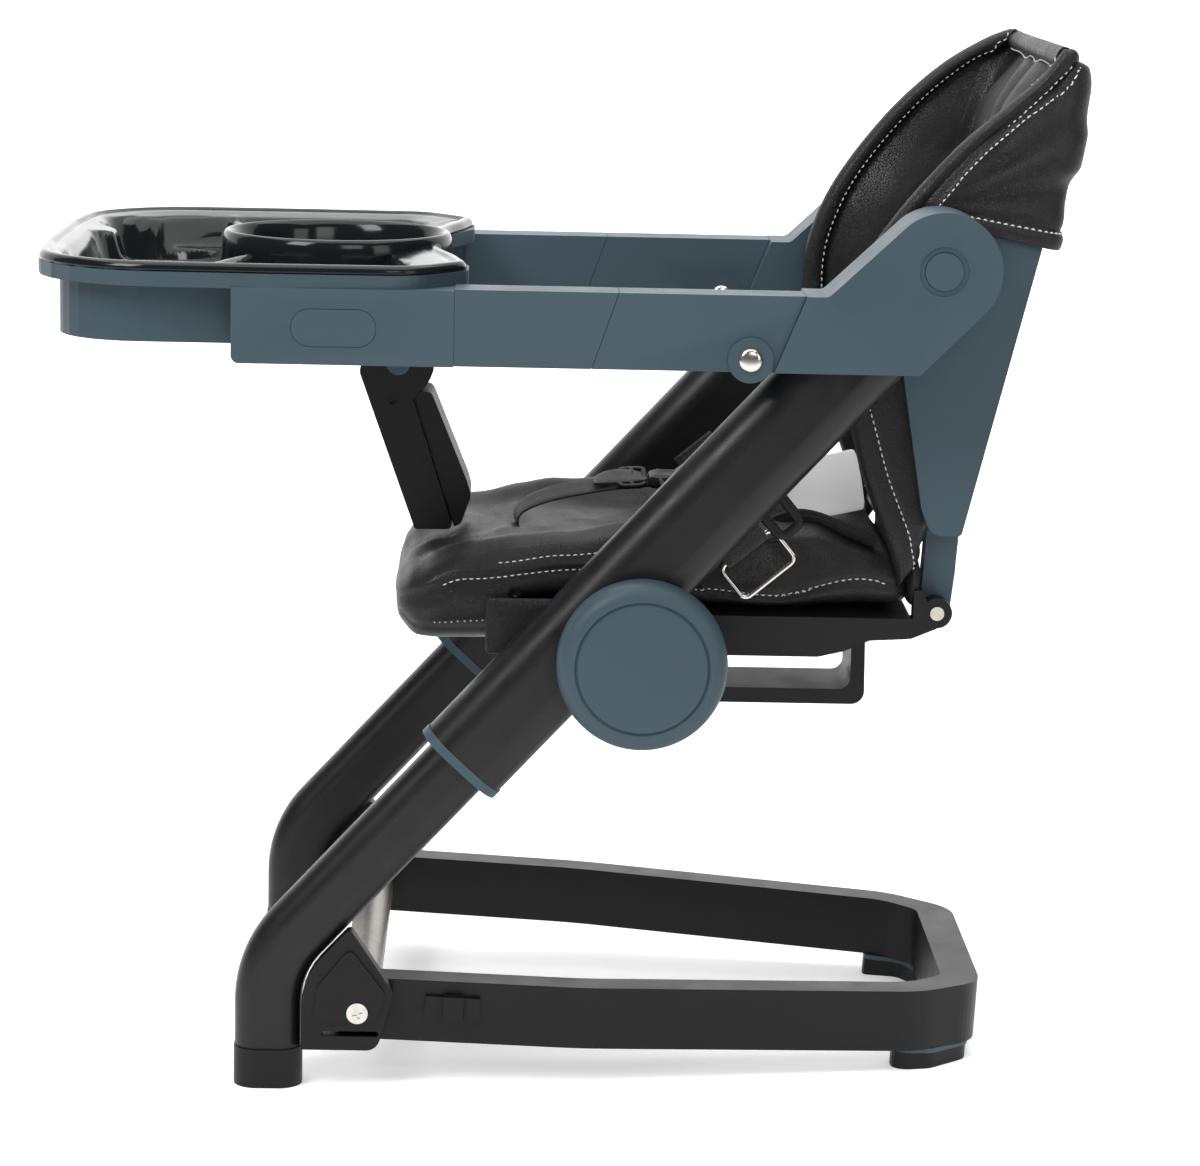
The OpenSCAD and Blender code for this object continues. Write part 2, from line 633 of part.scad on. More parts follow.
placed() color(steel_blue) other_side() tray_button();  // tray_button_right
placed() crotch_post();
placed() post_pad();
placed() color(steel_blue) post_cap();  // post_cap_left
placed() color(steel_blue) other_side() post_cap();  // post_cap_right
placed() color(steel_blue) back_button();  // back_button_left
placed() color(steel_blue) other_side() back_button();  // back_button_right
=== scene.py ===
"""Looks of the baby high chair: camera, light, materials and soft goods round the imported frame."""

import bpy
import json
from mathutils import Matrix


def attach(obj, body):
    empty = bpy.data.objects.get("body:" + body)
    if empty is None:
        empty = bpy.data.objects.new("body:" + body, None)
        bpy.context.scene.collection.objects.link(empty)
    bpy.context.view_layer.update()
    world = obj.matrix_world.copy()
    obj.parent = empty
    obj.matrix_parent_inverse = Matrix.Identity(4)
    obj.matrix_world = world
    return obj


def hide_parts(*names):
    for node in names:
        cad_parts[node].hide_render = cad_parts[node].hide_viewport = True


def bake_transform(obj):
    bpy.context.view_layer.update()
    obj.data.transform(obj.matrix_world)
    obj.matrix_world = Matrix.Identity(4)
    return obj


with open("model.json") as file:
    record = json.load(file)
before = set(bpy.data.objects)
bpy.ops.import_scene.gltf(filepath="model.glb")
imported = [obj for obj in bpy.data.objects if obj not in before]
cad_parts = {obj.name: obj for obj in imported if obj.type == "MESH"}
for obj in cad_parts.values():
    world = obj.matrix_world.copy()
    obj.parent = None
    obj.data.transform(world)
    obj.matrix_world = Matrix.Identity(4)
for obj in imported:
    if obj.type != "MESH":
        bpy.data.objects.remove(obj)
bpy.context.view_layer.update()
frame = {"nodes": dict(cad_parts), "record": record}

import json
import math

import bmesh
import bpy
from mathutils import Matrix, Vector, kdtree, noise
from mathutils.bvhtree import BVHTree

MM = 0.001
SIDES = {"left": 1, "right": -1}
nodes = frame["nodes"]


# ---------------------------------------------------------------- camera
CAMERA_AT = Vector((2.570, -0.0242, 0.7926))
CAMERA_PITCH = 0.187
CAMERA_YAW = 0.019
CAMERA_ROLL = 0.022
FOCAL_PX = 3792
IMAGE_W = 1200


def make_camera():
    data = bpy.data.cameras.new("camera")
    data.sensor_width = 36
    data.sensor_fit = "HORIZONTAL"
    data.lens = 36 * FOCAL_PX / IMAGE_W
    data.clip_end = 50
    cam = bpy.data.objects.new("camera", data)
    bpy.context.scene.collection.objects.link(cam)
    ahead = Vector((-math.cos(CAMERA_PITCH) * math.cos(CAMERA_YAW),
                    math.cos(CAMERA_PITCH) * math.sin(CAMERA_YAW), -math.sin(CAMERA_PITCH)))
    right = ahead.cross(Vector((0, 0, 1))).normalized()
    up = right.cross(ahead)
    turn = Matrix((right, up, -ahead)).transposed().to_4x4()
    cam.matrix_world = (Matrix.Translation(CAMERA_AT)
                        @ Matrix.Rotation(CAMERA_ROLL, 4, "X") @ turn)
    bpy.context.scene.camera = cam


make_camera()


# ---------------------------------------------------------------- materials
class Nodes:
    """A material's node tree with short ways to add and join nodes."""

    def __init__(self, name):
        self.material = bpy.data.materials.new(name)
        self.material.use_nodes = True
        self.tree = self.material.node_tree
        self.shader = self.tree.nodes["Principled BSDF"]
        self.coords = self.add("ShaderNodeTexCoord").outputs["Object"]

    def add(self, kind, inputs=None, **settings):
        node = self.tree.nodes.new(kind)
        for key, value in settings.items():
            setattr(node, key, value)
        for key, value in (inputs or {}).items():
            if isinstance(value, bpy.types.NodeSocket):
                self.tree.links.new(value, node.inputs[key])
            else:
                node.inputs[key].default_value = value
        return node

    def set(self, **values):
        for key, value in values.items():
            socket = self.shader.inputs[key.replace("_", " ")]
            if isinstance(value, bpy.types.NodeSocket):
                self.tree.links.new(value, socket)
            else:
                socket.default_value = value

    def noise(self, scale, detail=4, roughness=0.55, coords=None):
        return self.add("ShaderNodeTexNoise", {"Vector": coords or self.coords, "Scale": scale,
                        "Detail": detail, "Roughness": roughness}).outputs["Fac"]

    def voronoi(self, scale, feature="F1", output="Distance", coords=None, **settings):
        return self.add("ShaderNodeTexVoronoi", {"Vector": coords or self.coords,
                        "Scale": scale}, feature=feature, **settings).outputs[output]

    def span(self, value, low, high, out_low, out_high):
        return self.add("ShaderNodeMapRange", {"Value": value, "From Min": low,
                        "From Max": high, "To Min": out_low, "To Max": out_high}).outputs[0]

    def math(self, operation, a, b=0.0):
        return self.add("ShaderNodeMath", {0: a, 1: b}, operation=operation).outputs[0]

    def mix(self, factor, a, b):
        node = self.add("ShaderNodeMix", data_type="RGBA")
        for key, value in (("Factor", factor), ("A", a), ("B", b)):
            socket = [s for s in node.inputs if s.name == key and s.enabled][0]
            if isinstance(value, bpy.types.NodeSocket):
                self.tree.links.new(value, socket)
            else:
                socket.default_value = value
        return [s for s in node.outputs if s.enabled][0]

    def bump(self, height, distance, strength=1.0, normal=None):
        inputs = {"Height": height, "Distance": distance, "Strength": strength}
        if normal is not None:
            inputs["Normal"] = normal
        return self.add("ShaderNodeBump", inputs).outputs["Normal"]


def tone(colour, factor):
    return (colour[0] * factor, colour[1] * factor, colour[2] * factor, 1)


def convex_edge_highlight(n, low=0.52, high=0.62):
    """Painted highlight: a mask strongest along convex edges, where the colour is lightened to stand
    in for light catching them.
    """
    point = n.add("ShaderNodeNewGeometry").outputs["Pointiness"]
    return n.span(point, low, high, 0, 1)


def moulded_plastic(name, colour, roughness, grain, grain_depth, edge=1.35):
    """Spark-eroded moulded plastic: a fine pitted grain, cloudy gloss, and convex edges painted
    paler as a painted highlight.
    """
    n = Nodes(name)
    cloud = n.noise(9, 3)
    speck = n.noise(grain * 0.6, 2)
    base = n.mix(n.span(cloud, 0.3, 0.7, 0, 1), tone(colour, 0.93), tone(colour, 1.07))
    base = n.mix(n.span(speck, 0.35, 0.65, 0, 0.35), base, tone(colour, 1.16))
    # painted highlight: convex edges lightened towards the edge tone
    n.set(Base_Color=n.mix(n.math("MULTIPLY", convex_edge_highlight(n), 0.45), base, tone(colour, edge)))
    n.set(Roughness=n.span(n.noise(34, 4), 0.25, 0.75, roughness - 0.05, roughness + 0.06))
    pits = n.bump(n.noise(grain, 3, 0.7), grain_depth)
    n.set(Normal=n.bump(n.noise(22, 2), 0.00012, 0.6, pits))
    n.set(IOR=1.49, Specular_IOR_Level=0.26)
    return n.material


def textured_paint(name, colour, roughness, size, depth):
    """Powder coat: small rounded bumps, with a slow change of gloss along the tube."""
    n = Nodes(name)
    cell = n.voronoi(size, "SMOOTH_F1")
    cloud = n.noise(5, 3)
    n.set(Base_Color=n.mix(n.span(cloud, 0.3, 0.7, 0, 1), tone(colour, 0.9), tone(colour, 1.12)))
    n.set(Roughness=n.span(n.noise(60, 3), 0.3, 0.7, roughness - 0.06, roughness + 0.06))
    fine = n.bump(n.noise(size * 1.7, 2, 0.6), depth * 0.6)
    n.set(Normal=n.bump(cell, depth, 0.7, fine))
    n.set(IOR=1.5, Specular_IOR_Level=0.32)
    return n.material


def leather(name, colour, roughness=0.40):
    """Soft faux leather: pebbled cells cut by fine creases painted darker as painted shade, with
    convex spots painted paler as a painted highlight.
    """
    n = Nodes(name)
    bend = n.add("ShaderNodeTexNoise",
                 {"Vector": n.coords, "Scale": 90, "Detail": 2}).outputs["Color"]
    warped = n.add("ShaderNodeVectorMath", {0: n.coords}, operation="ADD")
    shift = n.add("ShaderNodeVectorMath", {0: bend, "Scale": 0.0016}, operation="SCALE")
    n.tree.links.new(shift.outputs[0], warped.inputs[1])
    at = warped.outputs[0]
    crease = n.voronoi(560, "DISTANCE_TO_EDGE", coords=at)
    groove = n.span(crease, 0.0, 0.11, 0, 1)
    big = n.noise(14, 4)
    base = n.mix(n.span(big, 0.3, 0.7, 0, 1), tone(colour, 0.88), tone(colour, 1.12))
    # painted shade: the grain's creases are darkened
    base = n.mix(n.span(groove, 0, 1, 0.35, 0), base, tone(colour, 0.45))
    # painted highlight: convex spots lightened
    n.set(Base_Color=n.mix(n.math("MULTIPLY", convex_edge_highlight(n, 0.51, 0.58), 0.25), base, tone(colour, 1.7)))
    rough = n.span(n.noise(40, 3), 0.3, 0.7, roughness - 0.05, roughness + 0.07)
    n.set(Roughness=n.math("ADD", rough, n.span(groove, 0, 1, 0.14, 0)))
    pores = n.bump(n.noise(1500, 2), 0.00006, 0.5)
    cells = n.bump(groove, 0.00030, 0.9, pores)
    n.set(Normal=n.bump(n.noise(55, 4, 0.6), 0.0006, 0.45, cells))
    n.set(IOR=1.5, Specular_IOR_Level=0.34)
    return n.material


def gloss_liner(name, colour):
    n = Nodes(name)
    cloud = n.noise(6, 2)
    n.set(Base_Color=n.mix(n.span(cloud, 0.3, 0.7, 0, 1), tone(colour, 0.9), tone(colour, 1.15)))
    scuff = n.voronoi(260, "DISTANCE_TO_EDGE")
    n.set(Roughness=n.span(n.noise(45, 5, 0.7), 0.35, 0.75, 0.09, 0.19))
    n.set(Normal=n.bump(n.noise(16, 2), 0.00025, 0.35, n.bump(scuff, 0.000004, 0.2)))
    n.set(IOR=1.46, Specular_IOR_Level=0.32)
    return n.material


def plated(name, colour, roughness, stretch=(1, 1, 1)):
    """Nickel plate: faint polishing lines and dulled spots."""
    n = Nodes(name)
    at = n.add("ShaderNodeMapping", {"Vector": n.coords, "Scale": stretch}).outputs[0]
    lines = n.noise(900, 3, 0.6, at)
    n.set(Metallic=1.0)
    n.set(Base_Color=n.mix(n.span(n.noise(120, 3), 0.35, 0.7, 0, 1), tone(colour, 1.0),
                           tone(colour, 0.82)))
    n.set(Roughness=n.span(lines, 0.3, 0.7, roughness - 0.05, roughness + 0.08))
    n.set(Normal=n.bump(lines, 0.00003, 0.5))
    return n.material


def webbing(name, colour):
    """Woven strap: a herringbone of ribs, laid out along the strap's own length."""
    n = Nodes(name)
    flat = n.add("ShaderNodeSeparateXYZ", {"Vector": n.add("ShaderNodeTexCoord").outputs["UV"]})
    zigzag = n.math("PINGPONG", flat.outputs["X"], 0.0022)
    along = n.math("ADD", flat.outputs["Y"], n.math("MULTIPLY", zigzag, 0.9))
    at = n.add("ShaderNodeCombineXYZ", {"X": along, "Y": flat.outputs["X"]}).outputs[0]
    ribs = n.add("ShaderNodeTexWave", {"Vector": at, "Scale": 210, "Distortion": 0.5, "Detail": 1,
                 "Detail Scale": 3}, bands_direction="X").outputs["Fac"]
    warp = n.add("ShaderNodeTexWave", {"Vector": at, "Scale": 260, "Distortion": 0.3},
                 bands_direction="Y").outputs["Fac"]
    weave = n.math("MULTIPLY", ribs, n.math("ADD", n.math("MULTIPLY", warp, 0.4), 0.6))
    n.set(Base_Color=n.mix(weave, tone(colour, 0.5), tone(colour, 1.8)))
    n.set(Roughness=n.span(n.noise(200, 2), 0.3, 0.7, 0.5, 0.68), Sheen_Weight=0.15)
    n.set(Normal=n.bump(weave, 0.0006, 0.9))
    return n.material


def thread(name, colour):
    n = Nodes(name)
    twist = n.add("ShaderNodeTexWave", {"Vector": n.coords, "Scale": 600, "Distortion": 2},
                  bands_direction="DIAGONAL").outputs["Fac"]
    n.set(Base_Color=n.mix(twist, tone(colour, 0.78), tone(colour, 1.0)))
    n.set(Roughness=n.span(n.noise(300, 2), 0.3, 0.7, 0.5, 0.7), Sheen_Weight=0.2)
    n.set(Normal=n.bump(twist, 0.0002, 0.8))
    return n.material


def label_cloth(name):
    n = Nodes(name)
    weft = n.add("ShaderNodeTexWave", {"Vector": n.coords, "Scale": 420}, bands_direction="Z")
    warp = n.add("ShaderNodeTexWave", {"Vector": n.coords, "Scale": 420}, bands_direction="Y")
    weave = n.math("MULTIPLY", weft.outputs["Fac"], warp.outputs["Fac"])
    stain = n.span(n.noise(40, 3), 0.3, 0.8, 0, 0.5)
    n.set(Base_Color=n.mix(stain, (0.86, 0.86, 0.85, 1), (0.74, 0.74, 0.72, 1)))
    n.set(Roughness=n.span(weave, 0, 1, 0.6, 0.8), Normal=n.bump(weave, 0.0002, 0.5))
    # painted light: the label glows faintly so it stays white where it sits in shade
    n.set(Emission_Color=(1, 1, 1, 1), Emission_Strength=0.22)
    return n.material


def plain_stage(name, colour, roughness, glow, far_tone=1.0):
    """White studio paper that glows, which lightens the shadows cast on it; a painted fall-off of
    light darkens its colour and glow towards far_tone away from the chair's far side.
    """
    n = Nodes(name)
    cloud = n.span(n.noise(3, 2), 0.3, 0.7, 0, 1)
    from_back = n.add("ShaderNodeVectorMath", {0: n.coords, 1: (-1.6, 0.0, 0.0)},
                      operation="DISTANCE").outputs["Value"]
    # painted fall-off of light, like a studio vignette
    light_falloff = n.span(from_back, 2.9, 4.4, 1.0, far_tone)
    paper = n.mix(cloud, tone(colour, 0.995), tone(colour, 1.0))
    n.set(Base_Color=n.mix(light_falloff, (0, 0, 0, 1), paper), Roughness=roughness)
    n.set(Emission_Color=n.mix(light_falloff, (0, 0, 0, 1), (1, 1, 1, 1)), Emission_Strength=glow)
    return n.material


BLUE_GREY = (0.042, 0.068, 0.085)
MATERIALS = {
    "leg_paint": textured_paint("leg_paint", (0.0075, 0.0072, 0.0082), 0.37, 900, 0.00007),
    "bar_paint": moulded_plastic("bar_paint", (0.0055, 0.0055, 0.0060), 0.40, 2200, 0.00003),
    "tube_metal": plated("tube_metal", (0.36, 0.34, 0.31), 0.38, (1, 8, 8)),
    "black_plastic": moulded_plastic("black_plastic", (0.0055, 0.0055, 0.0060), 0.46, 1500,
                                     0.00006),
    "blue_grey_plastic": moulded_plastic("blue_grey_plastic", BLUE_GREY, 0.45, 1700, 0.00005),
    "bright_metal": plated("bright_metal", (0.66, 0.62, 0.57), 0.20),
    "seat_leather": leather("seat_leather", (0.0095, 0.0093, 0.0102)),
    "webbing": webbing("webbing", (0.011, 0.011, 0.012)),
    "label_cloth": label_cloth("label_cloth"),
    "gloss_liner": gloss_liner("gloss_liner", (0.006, 0.0085, 0.0085)),
}
THREAD = thread("white_thread", (0.82, 0.82, 0.80))


# ---------------------------------------------------------------- hard pieces from the frame
EDGE_MM = {"lower_leg": 0.6, "upper_leg": 0.8, "cross_tube": 0.5, "floor_bar": 3.2,
           "rear_foot": 1.5, "front_foot": 1.5, "hub_cap": 3.0, "hub_housing": 2.0,
           "rear_arm": 3.2, "middle_arm": 2.2, "front_arm": 2.2, "tray_insert": 2.4, "tray": 2.2,
           "tray_button": 0.35, "back_button": 0.8, "base_bracket": 1.8, "seat_base": 1.5,
           "carry_handle": 3.0, "back_shell": 1.2, "crotch_post": 4.0, "post_pad": 4.0,
           "lap_ring": 1.2, "bar_clip": 1.0, "harness_buckle": 1.5, "leg_collar": 0.7}
FLAT_ANGLE = math.radians(1.5)
EDGE_ANGLE = math.radians(28)


def family(node):
    return node.rsplit("_", 1)[0] if node.endswith(("_left", "_right")) else node


def round_edges(obj, width, segments=3):
    """Merges flat triangles, then rounds what is left of the sharp edges."""
    flat = obj.modifiers.new("flat", "DECIMATE")
    flat.decimate_type = "DISSOLVE"
    flat.angle_limit = FLAT_ANGLE
    soft = obj.modifiers.new("edge", "BEVEL")
    soft.width = width
    soft.segments = segments
    soft.limit_method = "ANGLE"
    soft.angle_limit = EDGE_ANGLE
    soft.use_clamp_overlap = True
    soft.miter_outer = "MITER_ARC"
    shade_smooth(obj)


def shade_smooth(obj, angle=math.radians(30)):
    group = bpy.data.node_groups.get("smooth_by_angle")
    if group is None:
        group = bpy.data.node_groups.new("smooth_by_angle", "GeometryNodeTree")
        group.interface.new_socket("Geometry", in_out="INPUT", socket_type="NodeSocketGeometry")
        group.interface.new_socket("Geometry", in_out="OUTPUT", socket_type="NodeSocketGeometry")
        g_in = group.nodes.new("NodeGroupInput")
        g_out = group.nodes.new("NodeGroupOutput")
        edge = group.nodes.new("GeometryNodeInputMeshEdgeAngle")
        below = group.nodes.new("FunctionNodeCompare")
        below.data_type = "FLOAT"
        below.operation = "LESS_EQUAL"
        below.inputs[1].default_value = angle
        faces = group.nodes.new("GeometryNodeSetShadeSmooth")
        faces.domain = "FACE"
        edges = group.nodes.new("GeometryNodeSetShadeSmooth")
        edges.domain = "EDGE"
        link = group.links.new
        link(g_in.outputs[0], faces.inputs[0])
        link(edge.outputs["Unsigned Angle"], below.inputs[0])
        link(faces.outputs[0], edges.inputs[0])
        link(below.outputs[0], edges.inputs["Shade Smooth"])
        link(edges.outputs[0], g_out.inputs[0])
    obj.modifiers.new("smooth", "NODES").node_group = group


def dress_cad():
    slots = {s["node"]: s["material_slot"] for s in frame["record"]["subparts"]}
    for name, obj in nodes.items():
        obj.data.materials.clear()
        obj.data.materials.append(MATERIALS[slots[name]])
        width = EDGE_MM.get(family(name))
        if width:
            round_edges(obj, width * MM)
        else:
            shade_smooth(obj)


dress_cad()


# ---------------------------------------------------------------- building soft goods
# the chair was shifted along Y so that its box is centred over the origin
SHIFT_Y = 9.4


def place(x, y, z):
    return Vector((x, y + SHIFT_Y, z)) * MM


def smooth_step(t):
    t = max(0.0, min(1.0, t))
    return t * t * (3 - 2 * t)


def follow(table, t):
    """A point of the smooth curve through the table's points, at t from 0 to 1."""
    last = len(table) - 1
    s = max(0.0, min(1.0, t)) * last
    i = min(int(s), last - 1)
    f = s - i
    a, b = table[max(i - 1, 0)], table[i]
    c, d = table[i + 1], table[min(i + 2, last)]
    return [0.5 * (2 * q + (r - p) * f + (2 * p - 5 * q + 4 * r - s4) * f * f
                   + (3 * q - p - 3 * r + s4) * f ** 3) for p, q, r, s4 in zip(a, b, c, d)]


def graph(table, x):
    """The height of the line through the table's (x, height) pairs, eased between them."""
    if x <= table[0][0]:
        return table[0][1]
    for (x0, h0), (x1, h1) in zip(table, table[1:]):
        if x <= x1:
            return h0 + (h1 - h0) * smooth_step((x - x0) / (x1 - x0))
    return table[-1][1]


def lay_out(points, step):
    """Points every step metres along the line through points."""
    out = [points[0].copy()]
    left = step
    for a, b in zip(points, points[1:]):
        length = (b - a).length
        at = left
        while at <= length:
            out.append(a.lerp(b, at / length))
            at += step
        left = at - length
    return out


def add_mesh(name, shape, slot=None):
    """A new piece of shape (its vertices and faces) in a slot's material, or in sewing thread."""
    verts, faces = shape
    mesh = bpy.data.meshes.new(name)
    mesh.from_pydata([tuple(v) for v in verts], [], faces)
    bm = bmesh.new()
    bm.from_mesh(mesh)
    bmesh.ops.recalc_face_normals(bm, faces=bm.faces)
    bm.to_mesh(mesh)
    bm.free()
    mesh.shade_smooth()
    obj = bpy.data.objects.new(name, mesh)
    bpy.context.scene.collection.objects.link(obj)
    mesh.materials.append(MATERIALS[slot] if slot else THREAD)
    return obj


def subdivide(obj, levels=1):
    soft = obj.modifiers.new("subdivision", "SUBSURF")
    soft.levels = soft.render_levels = levels
    return obj


def skin(rings, closed_ring=True, caps=True):
    """Faces between rings of equal length, given as one flat list of vertices."""
    n = len(rings[0])
    verts = [v for ring in rings for v in ring]
    faces = []
    for i in range(len(rings) - 1):
        for j in range(n if closed_ring else n - 1):
            k = (j + 1) % n
            faces.append((i * n + j, i * n + k, (i + 1) * n + k, (i + 1) * n + j))
    if caps and closed_ring:
        faces.append(tuple(range(n - 1, -1, -1)))
        faces.append(tuple((len(rings) - 1) * n + j for j in range(n)))
    return verts, faces


def folded_skin(rings):
    """Faces of a folded sheet: each ring is a front row and the rear row run back behind it."""
    verts, faces = skin(rings, caps=False)
    n = len(rings[0])
    for base in (0, (len(rings) - 1) * n):
        faces += [(base + j, base + j + 1, base + n - 2 - j, base + n - 1 - j)
                  for j in range(n // 2 - 1)]
    return verts, faces


def surface_of(obj):
    bpy.context.view_layer.update()
    graph_now = bpy.context.evaluated_depsgraph_get()
    return BVHTree.FromObject(obj, graph_now)


def sewn_line(name, path, skin_of, body, width=0.45, stitch=3.1, gap=1.3, lift=0.12,
              limit=14.0):
    """A row of thread stitches laid on a piece's surface along path."""
    tree = surface_of(skin_of)
    line = lay_out(path, 0.5 * MM)
    on = []
    for p in line:
        spot, normal, _, away = tree.find_nearest(p)
        if spot is not None and away < limit * MM:
            on.append((spot, normal))
    verts, faces = [], []
    period = int(round((stitch + gap) / 0.5))
    count = int(round(stitch / 0.5))
    for start in range(0, len(on) - count, period):
        part = on[start:start + count + 1]
        rings = []
        for i, (spot, normal) in enumerate(part):
            t = i / count
            ahead = (part[min(i + 1, count)][0] - part[max(i - 1, 0)][0]).normalized()
            across = normal.cross(ahead).normalized()
            swell = max(0.25, math.sin(math.pi * min(1, max(0, 0.12 + 0.76 * t)))) * width * MM
            up = (lift + 0.35 * math.sin(math.pi * t)) * MM - 0.3 * MM * (1 - math.sin(math.pi * t))
            centre = spot + normal * up
            rings.append([centre + (across * math.cos(a) + normal * math.sin(a)) * swell
                          for a in (k * math.tau / 6 for k in range(6))])
        v, f = skin(rings)
        base = len(verts)
        verts += v
        faces += [tuple(base + i for i in face) for face in f]
    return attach(add_mesh(name, (verts, faces)), body)


# ---------------------------------------------------------------- back liner
# side view (y, z) of the liner's levels, from the seat up: free edge of the wing and rear
EDGE_NEAR = [(219, 332), (216, 346), (206, 371), (194, 402), (184, 436), (175, 466), (169, 495),
             (172, 524), (190, 550), (217, 588), (248, 623), (278, 649), (299, 668), (312, 685)]
EDGE_FAR = [(219, 332), (216, 346), (206, 371), (194, 402), (184, 436), (175, 466), (169, 495),
            (170, 530), (182, 565), (204, 600), (231, 633), (262, 661), (291, 679), (310, 687)]
REAR = [(233, 345), (236, 364), (246, 385), (254, 408), (262, 437), (270, 468), (277, 495),
        (286, 530), (296, 562), (305, 594), (312, 624), (318, 650), (322, 671), (324, 684)]
HALF = [(0, 131), (0.15, 133), (0.58, 133), (0.72, 137), (1, 138)]
CORNER = [(0, 16), (0.3, 26), (0.6, 36), (0.85, 30), (1, 9)]
BEAD = 7.5
SEAM_AT = 14.5
WING_STEPS = [0, 0.7, 2, 4, 6.5, 9, 11.3, 13.2, 14.6, 16, 18, 20.5, 24, 28, 33]


def liner_levels(count):
    ease = [0.0, 0.004, 0.012, 0.022, 0.034]
    inner = [0.034 + (0.95 - 0.034) * i / (count - 1) for i in range(1, count)]
    top = [0.96, 0.969, 0.976, 0.983, 0.989, 0.994, 0.998, 1.0]
    return ease + inner + top


def liner_path(v, near, far, rear, half, corner):
    """The outer line at level v: points (x, y, z), each with its distance from the free edge."""
    r = Vector(follow(rear, v))
    e = {1: Vector(follow(near, v)), -1: Vector(follow(far, v))}
    w = graph(half, v)
    rc = min(graph(corner, v), min((e[s] - r).length for s in (1, -1)) * 0.8)
    path = []
    for s in (1, -1):
        length = (e[s] - r).length
        run = length - rc
        steps = [x for x in WING_STEPS if x < run * 0.5] if run < 60 else WING_STEPS
        rest = len(WING_STEPS) + 22 - len(steps)
        first = steps[-1]
        spots = steps + [first + (run - first) * i / rest for i in range(1, rest + 1)]
        wing = [(s * w, length - d, d, s) for d in spots]
        arc = [(s * (w - rc + rc * math.cos(math.radians(a))),
                rc - rc * math.sin(math.radians(a)),
                run + rc * math.radians(a), s) for a in (15, 30, 45, 60, 75)]
        path.append(wing + arc)
    flat = w - rc
    middle = [(flat * (1 - 2 * i / 34), 0.0, 400, 1 if i < 17 else -1) for i in range(35)]
    row = path[0] + middle + path[1][::-1]
    out = []
    for x, depth, edge, s in row:
        share = 0.5 + 0.5 * max(-1, min(1, x / w))
        ahead = (e[1] - r).normalized() * share + (e[-1] - r).normalized() * (1 - share)
        spot = r + ahead.normalized() * depth
        out.append((Vector((x, spot.x, spot.y)), edge))
    return out


def liner_normals(grid):
    rows, cols = len(grid), len(grid[0])
    normals = []
    for i in range(rows):
        line = []
        for j in range(cols):
            across = grid[i][min(j + 1, cols - 1)] - grid[i][max(j - 1, 0)]
            up = grid[min(i + 1, rows - 1)][j] - grid[max(i - 1, 0)][j]
            line.append(across.cross(up).normalized())
        normals.append(line)
    centre = Vector((0, 150, 500))
    if normals[rows // 2][cols // 2].dot(centre - grid[rows // 2][cols // 2]) < 0:
        normals = [[-n for n in line] for line in normals]
    return normals


def pleats(x, v, z):
    """Gathers of the head part: folds that fan out from a low point to the top rim."""
    fan = smooth_step((v - 0.60) / 0.12) * (1 - smooth_step((v - 0.955) / 0.04))
    if fan <= 0 or abs(x) > 112:
        return 0.0
    side_fade = 1 - smooth_step((abs(x) - 84) / 28)
    spread = 0.35 + 0.65 * smooth_step((v - 0.58) / 0.36)
    phase = x / (25 * spread) + 2.2 * noise.noise(Vector((x * 0.012, z * 0.01, 3.1)))
    fold = abs(math.sin(phase)) ** 0.75
    return (fold * 8.5 - 3.0) * fan * side_fade


def make_liner():
    levels = liner_levels(78)
    data = [liner_path(v, EDGE_NEAR, EDGE_FAR, REAR, HALF, CORNER) for v in levels]
    grid = [[spot for spot, _ in row] for row in data]
    normals = liner_normals(grid)
    rows, cols = len(grid), len(grid[0])
    heights = [0.0] * rows
    mid = cols // 2
    for i in range(1, rows):
        heights[i] = heights[i - 1] + (grid[i][mid] - grid[i - 1][mid]).length
    inner, outer = [], []
    for i in range(rows):
        v = levels[i]
        row_in, row_out = [], []
        e_end = min(heights[i], heights[-1] - heights[i])
        for j in range(cols):
            spot, edge = data[i][j]
            n = normals[i][j]
            e = min(edge, e_end)
            if edge < 22 and e_end < 22:
                e = max(0.0, edge + e_end - math.hypot(edge, e_end)) * 1.2
                e = min(e, edge, e_end)
            half = math.sqrt(max(0.0, BEAD ** 2 - (BEAD - min(e, 2 * BEAD)) ** 2))
            out_by, in_by = BEAD - half, BEAD + half
            if e > BEAD:
                out_by = 1.8 * math.exp(-((e - SEAM_AT) / 2.6) ** 2)
                on_back = smooth_step((133 - abs(spot.x)) / 30)
                full = 19 + 8 * on_back - 7 * smooth_step((v - 0.6) / 0.3)
                pad = 6.5 + (full - 6.5) * smooth_step((e - SEAM_AT) / 42) ** 0.55
                rough = noise.noise(spot * 0.016) * 2.2 + noise.noise(spot * 0.04) * 1.0
                pad += rough * smooth_step((e - 18) / 30) + pleats(spot.x, v, spot.z)
                in_by = max(in_by if e < 2 * BEAD else 0.0, pad) if e > SEAM_AT else in_by
                in_by = max(in_by, 5.0)
            row_in.append(spot + n * in_by)
            row_out.append(spot + n * out_by)
        inner.append([place(*p) for p in row_in])
        outer.append([place(*p) for p in row_out])
    rings = [inner[i] + outer[i][::-1] for i in range(rows)]
    obj = add_mesh("back_liner", folded_skin(rings), "seat_leather")
    return obj, grid, normals, data, levels


liner, liner_grid, liner_normal, liner_data, liner_v = make_liner()
subdivide(liner)
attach(liner, "back")
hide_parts("back_pad", "head_hood")


def edge_line(rows, normals, side, edge_at, face_by):
    """A line along one side, edge_at from the free edge and face_by off the surface."""
    out = []
    for row, across in zip(rows, normals):
        line = list(zip(row, across))[::side]
        for ((a, edge_a), _), ((b, edge_b), normal) in zip(line, line[1:]):
            if edge_a <= edge_at < edge_b:
                spot = a.lerp(b, (edge_at - edge_a) / (edge_b - edge_a))
                out.append(place(*(spot + normal * face_by)))
                break
    return out


